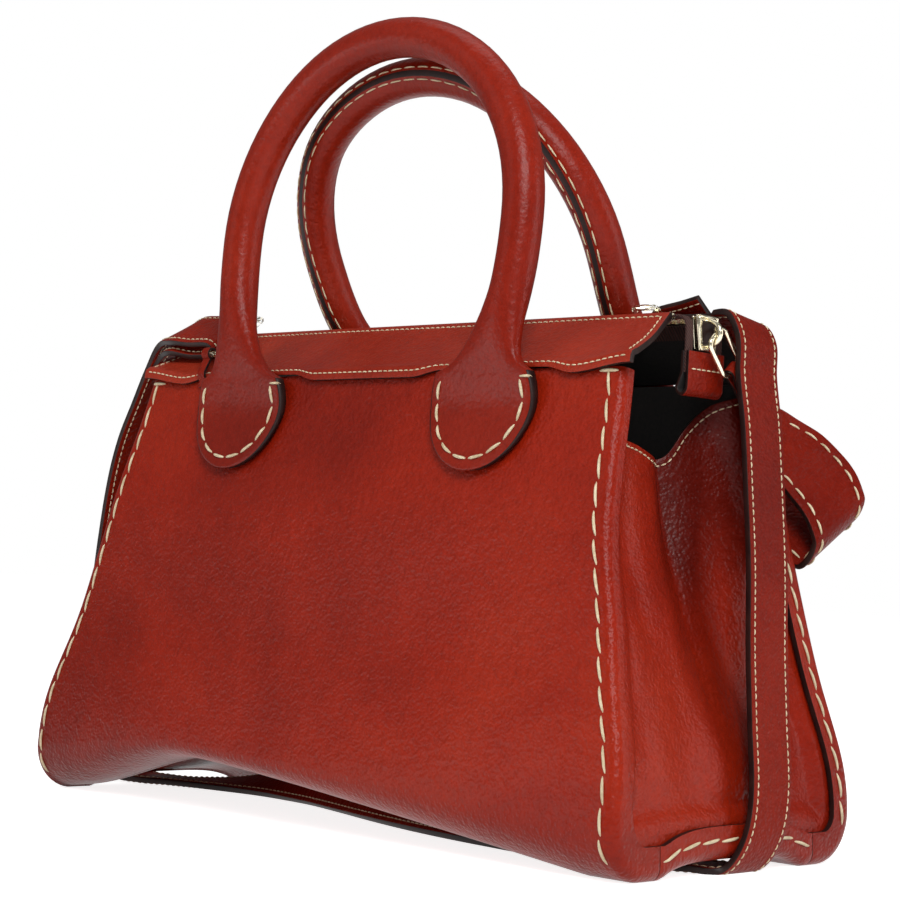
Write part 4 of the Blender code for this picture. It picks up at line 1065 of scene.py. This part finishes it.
def make_slider():
    """A flared body with a raised rim and a sunk dark field, and a round bail in front."""
    low = slider_level()
    high = low + SLIDER_HEIGHT
    x = tail_x() + TAPE / 2 + GAP
    shoulder = mix(low, high, 0.72)
    outline = [(-SLIDER_LOW_WIDTH / 2, low), (SLIDER_LOW_WIDTH / 2, low),
               (SLIDER_TOP_WIDTH / 2, shoulder), (SLIDER_TOP_WIDTH / 2, high),
               (-SLIDER_TOP_WIDTH / 2, high), (-SLIDER_TOP_WIDTH / 2, shoulder)]
    centre = mix(low, high, 0.5)
    front_x = x + SLIDER_PLATE
    rear_x = tail_x() - TAPE / 2 - GAP
    dress(slab("slider_front", outline, centre, 0.0, x, front_x, GOLD), "slider", "pale_gold",
          "zip_slider")
    dress(slab("slider_rear", outline, centre, 0.5 * MM, rear_x - SLIDER_PLATE, rear_x, GOLD),
          "slider", "pale_gold")
    dress(slab("slider_field", outline, centre, 2.2 * MM, front_x - 0.1 * MM,
               front_x + 0.15 * MM, EDGE), "slider", "pale_gold")
    rim = []
    for i, corner in enumerate(outline):
        after = Vector(outline[(i + 1) % len(outline)])
        for step in range(6):
            point = Vector(corner).lerp(after, step / 6)
            rim.append((front_x, point.x * 0.86, centre + (point.y - centre) * 0.9))
    dress(tube("slider_rim", rim, 0.75 * MM, True), "slider", "pale_gold")
    bail = [(x + SLIDER_PLATE / 2 + BAIL_RISE * math.sin(turn), 0,
             centre - SLIDER_HEIGHT * 0.36 * math.cos(turn)) for turn in spread(25, 0, math.pi)]
    dress(tube("slider_bail", bail, 0.95 * MM, flat=1.25), "slider", "pale_gold")


def make_puller_ring():
    """A long link of round wire through the slider's bail."""
    hang = hang_point()
    radius = PULL_RING_WIRE / 2
    tall = PULL_RING_HEIGHT / 2 - radius - PULL_RING_CORNER
    wide = PULL_RING_WIDTH / 2 - radius - PULL_RING_CORNER
    middle = hang.z - tall - PULL_RING_CORNER
    path = []
    for sy, sz, start in ((1, 1, 0), (-1, 1, 90), (-1, -1, 180), (1, -1, 270)):
        for cosine, sine in arc(start, start + 91, 10):
            path.append(hung((hang.x, sy * wide + PULL_RING_CORNER * cosine,
                              middle + sz * tall + PULL_RING_CORNER * sine)))
    dress(tube("puller_link", path, radius, True), "ring", "pale_gold", "puller_ring")


def make_pull():
    """A strip folded over the ring's lower bar, with a tack below the bend."""
    hang = hang_point() - Vector((0, 0, PULL_RING_HEIGHT - PULL_RING_WIRE))
    bend = PULL_RING_WIRE / 2 + 1.5 * GAP + PULL / 2
    half = PULL / 2 + GAP / 2
    path = [(-half, -PULL_LENGTH), (-half, -PULL_LENGTH * 0.7), (-half, -3 * bend)]
    path += [(bend * cosine, bend * sine) for cosine, sine in arc(200, -21, -20)]
    path += [(half, -3 * bend), (half, -PULL_LENGTH * 0.7), (half, -PULL_LENGTH)]
    rows = [[hung(hang + Vector((x, share * PULL_WIDTH, z))) for share in spread(7, -0.5, 0.5)]
            for x, z in path]
    tree = finished(piece("pull_strip", "leather_pull", "pull", "strap_leather", rows, PULL,
                          STRAP_BOTH, 0.2 * MM, (0, 0, 1)))
    tack = [hung(hang + Vector((half, share * PULL_WIDTH, -3.6 * bend)))
            for share in spread(5, -0.38, 0.38)]
    sew(tree, "pull_tack", tack, (1, 0, 0), PULL_TACK, "pull", "strap_leather")


# Handles

def lean_y(side, share):
    reach = NEAR_REACH if side == NEAR else FAR_REACH
    lean = interpolate(share, LEAN_HEIGHT_SHARES, LEAN_REACH_SHARES)
    return side * (HANDLE_OUTSET - reach * lean)


def handle_path(side):
    rise = NEAR_RISE if side == NEAR else FAR_RISE
    crown_start = 1 - CROWN_SHARE
    path = []
    for step in range(22):
        share = crown_start * (step / 22) ** 1.15
        pull_in = (ARCH_HALF_WIDTH - LEG_SPACING / 2) * (1 - share / crown_start) ** 2.2
        path.append((-(ARCH_HALF_WIDTH - pull_in), share))
    for step in range(45):
        turn = math.pi * step / 44
        path.append((-ARCH_HALF_WIDTH * math.cos(turn), crown_start + CROWN_SHARE * math.sin(turn)))
    path += [(-x, share) for x, share in reversed(path[:22])]
    return [Vector((x, lean_y(side, share), HANDLE_START + rise * share)) for x, share in path]


def paddle_half(z):
    """Half width of the foot disc at a height."""
    return math.sqrt(max(PADDLE_RADIUS ** 2 - (z - PADDLE_CENTRE) ** 2, 0.0))


NECK_FLARE = 9.4 * MM
SHOULDER = 3.2 * MM


def handle_sizes(height):
    """Half width and half depth of a leg: a slim neck that spreads to the round foot."""
    flare = max(1 - height / FLARE_HEIGHT, 0.0)
    shoulder = paddle_half(HANDLE_START) - TUBE_RADIUS - NECK_FLARE
    wide = TUBE_RADIUS + NECK_FLARE * flare ** 2 + shoulder * math.exp(-height / SHOULDER)
    deep = mix(TUBE_RADIUS, FLARE_HALF_DEPTH, flare ** 1.5)
    return wide, deep


HANDLE_SIDES = 40
SEAM_COLUMN = 30
FOOT_STEPS = 26
SEAM_CLEAR = 9
FOOT_JOIN = 14 * MM
FOOT_ROW_RADIUS = PADDLE_RADIUS - 5.2 * MM
ROPE_RADIUS = 6 * MM
ROPE_START = HANDLE_START + 14 * MM


def handle_ring(centre, across, outwards, wide, deep, flat):
    """A section; flat runs from 0, a round one, to 1, a sheet with round edges."""
    points = []
    for s in range(HANDLE_SIDES):
        turn = 2 * math.pi * s / HANDLE_SIDES
        c, v = math.cos(turn), math.sin(turn)
        u = math.copysign(abs(c) ** mix(1.0, 0.75, flat), c)
        w = math.copysign(abs(v) ** mix(1.0, 0.32, flat), v)
        points.append(centre + across * wide * u + outwards * deep * w)
    return points


def foot_rings(side, end):
    """The round foot of a leg, from its lowest point up to the leg."""
    lean = wall_lean()
    rings = []
    top_angle = math.acos((HANDLE_START - 1.0 * MM - PADDLE_CENTRE) / PADDLE_RADIUS)
    for angle in spread(FOOT_STEPS, math.pi * 0.992, top_angle):
        z = PADDLE_CENTRE + PADDLE_RADIUS * math.cos(angle)
        half = PADDLE_RADIUS * math.sin(angle)
        seat = half_depth(z) + (GAP + CHAPE_THICKNESS / 2) / math.cos(lean) + bulge(side, z)
        join = smooth((z - PADDLE_CENTRE + FOOT_JOIN) / (HANDLE_START - PADDLE_CENTRE + FOOT_JOIN))
        seat = mix(seat, HANDLE_OUTSET, join)
        thick = CHAPE_THICKNESS / 2 * min(1.0, 0.35 + half / (6 * MM))
        thick = mix(thick, FLARE_HALF_DEPTH, join)
        centre = Vector((end * LEG_SPACING / 2, side * seat, z))
        rings.append(handle_ring(centre, Vector((end, 0, 0)), Vector((0, side, 0)), half, thick,
                                 1.0))
    return rings


def leg_rings(side, path):
    rings = []
    for i, spot in enumerate(path):
        tangent = stride(path, i).normalized()
        height = spot.z - HANDLE_START
        square = smooth(height / FLARE_HEIGHT)
        level = Vector((1 if i > len(path) // 2 else -1, 0, 0))
        across = tangent.cross(Vector((0, 1, 0))).normalized()
        across = level.lerp(across, square).normalized()
        through = across.cross(tangent).normalized()
        through = Vector((0, 1, 0)).lerp(through, square).normalized()
        wide, deep = handle_sizes(height)
        flat = max(1 - height / (FLARE_HEIGHT * 0.55), 0.0) ** 1.2
        rings.append(handle_ring(spot, across, through * side, wide, deep, flat))
    return rings


def paint_handle_edges(mesh, path_steps):
    """The seam along the side that faces the other handle, and the edge round the feet."""
    half = HANDLE_SIDES / 2
    for polygon in mesh.polygons:
        if len(polygon.vertices) != 4:
            continue
        columns = sorted(v % HANDLE_SIDES for v in polygon.vertices)
        low = columns[0] if columns[-1] - columns[0] <= 1 else columns[-1]
        row = min(polygon.vertices) // HANDLE_SIDES
        if FOOT_STEPS <= row < FOOT_STEPS + path_steps - 1:
            dark = SEAM_COLUMN - 1 <= low < SEAM_COLUMN + 1
        else:
            dark = low <= 1 or low >= HANDLE_SIDES - 2 or abs(low + 0.5 - half) < 2.1
        if dark:
            polygon.material_index = 1


def make_handle(side):
    """A handle with both its round feet as one skin of leather, bending at the top of the feet."""
    word = "near" if side == NEAR else "far"
    handle = word + "_handle"
    path = handle_path(side)
    rings = foot_rings(side, -1) + leg_rings(side, path) + foot_rings(side, 1)[::-1]
    mesh = new_mesh(handle + "_skin", [point + SHIFT for ring in rings for point in ring],
                    ring_faces(len(rings), HANDLE_SIDES))
    mesh.attributes.new("shade", "FLOAT", "POINT")
    made = link(handle + "_skin", mesh, HANDLE, EDGE)
    face_outwards(mesh)
    mesh.shade_smooth()
    paint_handle_edges(mesh, len(path))

    tree = finished(made)
    runs = []
    # Two rows beside the seam
    for offset in (-2, 2):
        spots = []
        for ring in rings[FOOT_STEPS + SEAM_CLEAR:FOOT_STEPS + len(path) - SEAM_CLEAR]:
            point = ring[SEAM_COLUMN + offset] + SHIFT
            centre = sum(ring, Vector((0, 0, 0))) / HANDLE_SIDES + SHIFT
            spots.append((point, (point - centre).normalized()))
        runs.append(stitches("%s_seam_stitch_%d" % (handle, 1 if offset > 0 else 2), spots,
                             **SEAM_ROW))
    # A row round each foot, and a tack beside its leg
    for end in (-1, 1):
        centre_x = end * LEG_SPACING / 2
        guide = []
        for turn in spread(60, math.radians(157), math.radians(383)):
            z = PADDLE_CENTRE + FOOT_ROW_RADIUS * math.sin(turn)
            guide.append((centre_x + FOOT_ROW_RADIUS * math.cos(turn), side * half_depth(z), z))
        runs.append(stitches("%s_foot_stitch_%s" % (handle, end_word(end)),
                             laid(tree, guide, (0, side, 0)), **FOOT_ROW))
        tack = [(centre_x + reach, side * half_depth(0.2005), 0.2002)
                for reach in spread(5, PADDLE_RADIUS - 7.5 * MM, PADDLE_RADIUS - 0.4 * MM)]
        runs.append(stitches("%s_foot_tack_%s" % (handle, end_word(end)),
                             laid(tree, tack, (0, side, 0)), **FOOT_TACK))
    rope = tube(word + "_rope", [spot for spot in path if spot.z > ROPE_START], ROPE_RADIUS,
                paint=COTTON)
    dress(rope, handle, "core_cotton", word + "_handle_core")

    for bent in [made] + runs:
        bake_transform(bent)
    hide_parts(word + "_handle_wrap", word + "_left_chape", word + "_right_chape")


# Shoulder strap, ring tabs and side loop

def flap_tilt():
    direction = flap_slope()[2]
    return math.degrees(math.atan2(direction.y, -direction.x))


def ring_spot(side):
    y, z = on_flap(side, STRAP_ALONG, RING_LIFT)
    return Vector((side * RING_X, y, z))


STRAP_RIGHT_SHARES = (
    (-0.3, 0.29, 1.14, -18.0), (0.05, 0.28, 1.145, -8.0), (0.28, 0.275, 1.1, -2.0),
    (0.32, 0.27, 1.03, 0.0), (0.35, 0.272, 0.92, 0.0), (0.32, 0.272, 0.79, 0.0),
    (0.27, 0.272, 0.63, 0.0), (0.17, 0.26, 0.45, 0.0), (0.07, 0.24, 0.3, 0.0),
    (0.045, 0.2, 0.16, 0.0), (0.07, 0.13, 0.07, 0.0))
STRAP_LEFT_SHARES = (
    (0.25, -0.12, 0.02, 0.0), (0.49, -0.2, 0.09, 0.0), (0.66, -0.25, 0.2, 0.0),
    (0.95, -0.27, 0.34, 0.0), (1.12, -0.272, 0.48, 0.0), (1.15, -0.272, 0.63, 0.0),
    (1.1, -0.272, 0.78, 0.0), (0.95, -0.272, 0.88, 0.0), (0.68, -0.272, 0.97, 2.0),
    (0.36, -0.28, 1.06, 10.0), (0.0, -0.295, 1.135, 22.0))
STRAP_TAIL_SHARES = ((-0.05, -0.305, 1.105, 22.0), (0.13, -0.31, 1.06, 16.0))
STRAP_UNDER_SHARES = (
    (0.985, 0.06, 0.0, 0.0), (0.93, -0.06, 0.0, 0.0), (0.8, -0.22, 0.0, 2.0),
    (0.62, -0.32, 0.0, 5.0),
    (0.42, -0.31, 0.0, 14.0), (0.2, -0.26, 0.0, 26.0), (0.0, -0.18, 0.0, 38.0),
    (-0.2, -0.07, 0.0, 48.0), (-0.38, 0.04, 0.0, 46.0), (-0.56, 0.12, 0.0, 28.0),
    (-0.74, 0.1, 0.0, 8.0), (-0.9, 0.02, 0.0, 0.0), (-0.985, -0.06, 0.0, 0.0))


def strap_height(share):
    """Up to the panel's height a share of it, and above it a share of one fixed rise."""
    return min(share, 1.0) * PANEL_HEIGHT + max(share - 1, 0.0) * STRAP_RISE


def strap_stations():
    turn = RING_WIRE / 2 + GAP + STRAP / 2
    bar = RING_X + RING_BREADTH / 2 - RING_WIRE / 2
    tilt = flap_tilt()
    stations = []

    def over(side, x, along, lift, angle):
        stations.append((Vector((x, *on_flap(side, along, lift))), angle))

    def beside(end, shares):
        for x_out, y_share, z_share, angle in shares:
            z = strap_height(z_share)
            x = end * (half_length(min(z, PANEL_TOP)) + STRAP / 2 + x_out * STRAP_WIDTH)
            stations.append((Vector((x, y_share * BASE_DEPTH / 2, z)), angle))

    over(FAR, bar + 0.78 * STRAP_WIDTH, STRAP_ALONG + STRAP, RING_LIFT + 1.6 * turn, -tilt)
    over(FAR, bar + 0.4 * STRAP_WIDTH, STRAP_ALONG + STRAP / 2, RING_LIFT + 1.2 * turn, -tilt)
    for cosine, sine in arc(90, 271, 45):
        over(FAR, bar + turn * cosine, STRAP_ALONG, RING_LIFT + turn * sine, -tilt)
    over(FAR, bar + 0.6 * STRAP_WIDTH, STRAP_ALONG, RING_LIFT - 0.95 * turn, -tilt)
    over(FAR, bar + 1.1 * STRAP_WIDTH, STRAP_ALONG, RING_LIFT - 0.6 * turn, -tilt * 0.85)
    beside(1, STRAP_RIGHT_SHARES)
    for x_share, y_share, z_share, angle in STRAP_UNDER_SHARES:
        rise = STRAP_WIDTH / 2 * math.sin(math.radians(angle))
        z = STRAP / 2 + 2 * GAP + rise + z_share * STRAP_WIDTH
        stations.append((Vector((x_share * BASE_LENGTH / 2, y_share * BASE_DEPTH / 2, z)), angle))
    beside(-1, STRAP_LEFT_SHARES)
    over(NEAR, -bar - 0.95 * STRAP_WIDTH, STRAP_ALONG, RING_LIFT + 1.35 * turn, tilt * 0.9)
    over(NEAR, -bar - 0.5 * STRAP_WIDTH, STRAP_ALONG, RING_LIFT + 1.15 * turn, tilt)
    for cosine, sine in arc(90, -91, -45):
        over(NEAR, -bar + turn * cosine, STRAP_ALONG, RING_LIFT + turn * sine, tilt)
    over(NEAR, -bar - 0.6 * STRAP_WIDTH, STRAP_ALONG, RING_LIFT - 0.95 * turn, tilt)
    over(NEAR, -bar - 1.1 * STRAP_WIDTH, STRAP_ALONG - STRAP / 2, RING_LIFT - 0.4 * turn,
         0.8 * tilt)
    for x_out, y_share, z_share, angle in STRAP_TAIL_SHARES:
        x = -half_length(PANEL_TOP) - x_out * STRAP_WIDTH
        stations.append((Vector((x, y_share * BASE_DEPTH / 2, strap_height(z_share))), angle))
    return stations


def smooth_stations(stations, steps):
    """A smooth curve through (point, turn) stations."""
    spots = [Vector((*spot, tilt * MM)) for spot, tilt in stations]
    spans = [(b - a).length for a, b in zip(spots, spots[1:])]
    slopes = []
    for i in range(len(spots)):
        before = max(i - 1, 0)
        after = min(i + 1, len(spots) - 1)
        slopes.append((spots[after] - spots[before]) / sum(spans[before:after]))
    dense = []
    for i, span in enumerate(spans):
        for step in range(steps):
            dense.append(hermite(spots[i], spots[i + 1], slopes[i] * span, slopes[i + 1] * span,
                                 step / steps))
    dense.append(spots[-1])
    return [(spot.to_3d(), spot.w / MM) for spot in dense]


STRAP_ROW_INSET = 2.6 * MM
STRAP_CROWN = 0.12 * MM


def make_strap():
    dense = smooth_stations(strap_stations(), 8)
    line = [spot for spot, tilt in dense]
    rows = []
    edges = {(side, face): [] for side in (-1, 1) for face in (-1, 1)}
    for i, (spot, tilt) in enumerate(dense):
        angle = math.radians(tilt)
        across = Vector((0, math.cos(angle), math.sin(angle)))
        normal = stride(line, i).cross(across).normalized()
        rows.append([spot + across * STRAP_WIDTH / 2 * share
                     + normal * (STRAP_CROWN * (1 - share ** 2)) for share in spread(13, -1, 1)])
        for (side, face), spots in edges.items():
            place = spot + across * side * (STRAP_WIDTH / 2 - STRAP_ROW_INSET)
            spots.append((place + normal * face * STRAP / 2 + SHIFT, normal * face))
    piece("shoulder_strap_band", "shoulder_strap", "bag", "strap_leather", rows, STRAP, STRAP_BOTH,
          0.5 * MM)
    for (side, face), spots in edges.items():
        name = "strap_stitch_%s_%s" % ("a" if side < 0 else "b", "in" if face < 0 else "out")
        dress(stitches(name, spots, **MACHINE), "bag", "strap_leather")


def make_ring_tab(side, node):
    centre = ring_spot(side)
    x = centre.x + side * RING_TAB
    bar_along = STRAP_ALONG - RING_LENGTH / 2 + RING_WIRE / 2
    turn = RING_WIRE / 2 + GAP + RING_TAB / 2
    path = []
    for drop in (3 * RING_TAB, RING_TAB / 2):
        z = PANEL_TOP - drop
        path.append((x, side * (half_depth(z) + 2 * GAP + RING_TAB / 2), z))
    for rise in (RING_TAB, 2.5 * RING_TAB):
        y = half_depth(PANEL_TOP) + 2 * GAP + LEATHER - YOKE_TUCK + GAP + RING_TAB / 2
        path.append((x, side * y, PANEL_TOP + rise))
    for cosine, sine in arc(215, -31, -20):
        path.append((x, *on_flap(side, bar_along + turn * cosine, RING_LIFT + turn * sine)))
    rows = [[(px + share * RING_TAB_WIDTH, y, z) for share in spread(5, -0.5, 0.5)]
            for px, y, z in path]
    piece(node + "_strip", node, "bag", "strap_leather", rows, RING_TAB, STRAP_BOTH, 0.2 * MM)


# The loop's near edge from its upper sewn end round the fold to the lower one: along, out from
# the wall and up, in loop widths, with how far its width has turned away from the wall
LOOP_SHARES = (
    (0.0, 0.045, 0.0, 0.0), (0.32, 0.058, -0.055, 0.35), (0.74, 0.09, -0.074, 0.75),
    (1.1, 0.27, -0.145, 1.0), (1.42, 0.24, -0.41, 1.0), (1.58, 0.21, -0.59, 1.0),
    (1.68, 0.175, -0.78, 1.0), (1.71, 0.15, -0.88, 1.0), (1.64, 0.12, -1.04, 1.0),
    (1.5, 0.105, -1.145, 1.0), (1.36, 0.115, -1.09, 1.0), (1.08, 0.15, -0.88, 1.0),
    (0.72, 0.155, -0.73, 0.85), (0.32, 0.15, -0.645, 0.6), (-0.1, 0.155, -0.59, 0.35),
    (-0.35, 0.165, -0.54, 0.15))
LOOP_OUT = Vector((0.08, 0.82, 0.56))


def make_loop():
    fall = math.radians(LOOP_FALL)
    flat = Vector((math.sin(fall), -math.sin(wall_lean()) * math.cos(fall), math.cos(fall)))
    origin = Vector((LOOP_START_X, 0, LOOP_START_Z))
    dense = smooth_stations([(Vector((x, off, z)) * LOOP_WIDTH, turn)
                             for x, off, z, turn in LOOP_SHARES], 6)
    edges = []
    for spot, turn in dense:
        edge = origin + spot
        edge.y += half_depth(edge.z)
        edges.append((edge, flat.lerp(LOOP_OUT, turn).normalized()))
    rows = []
    runs = {("near", "in"): [], ("near", "out"): [], ("far", "in"): [], ("far", "out"): []}
    line = [edge for edge, wide in edges]
    for i, (edge, wide) in enumerate(edges):
        rows.append([edge + wide * LOOP_WIDTH * k / 12 for k in range(13)])
        normal = stride(line, i).cross(wide).normalized()
        for (row, way), spots in runs.items():
            inset = LOOP_STITCH_INSET if row == "near" else LOOP_WIDTH - LOOP_STITCH_INSET
            face = -1 if way == "in" else 1
            spots.append((edge + wide * inset + normal * face * LOOP / 2 + SHIFT, normal * face))
    piece("side_loop_band", "side_loop", "bag", "strap_leather", rows, LOOP, STRAP_BOTH, 0.5 * MM)
    for (row, way), spots in runs.items():
        dress(stitches("loop_stitch_%s_%s" % (row, way), spots, **LOOP_ROW), "bag", "strap_leather")


def paint_nodes():
    """The rings, studs, teeth and tapes stay as the CAD has them, in better materials."""
    for name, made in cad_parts.items():
        if name.endswith(("teeth", "strap_ring", "stud")):
            paint = GOLD
        elif "tape" in name:
            paint = WEAVE
        else:
            continue
        made.data.materials.clear()
        made.data.materials.append(paint)
        if name.endswith(("strap_ring", "stud")):
            modify(made, "round", "SUBSURF", levels=1, render_levels=1)


make_stage(make_camera())
make_panel(NEAR, "near_panel_sheet")
make_panel(FAR, "far_panel_sheet")
make_base()
make_board()
make_gusset(1, "right_gusset")
make_gusset(-1, "left_gusset")
make_yoke(NEAR, "near_yoke")
make_yoke(FAR, "far_yoke")
make_end_tab()
make_slider()
make_puller_ring()
make_pull()
make_handle(NEAR)
make_handle(FAR)
make_strap()
make_ring_tab(NEAR, "left_ring_tab")
make_ring_tab(FAR, "right_ring_tab")
make_loop()
paint_nodes()
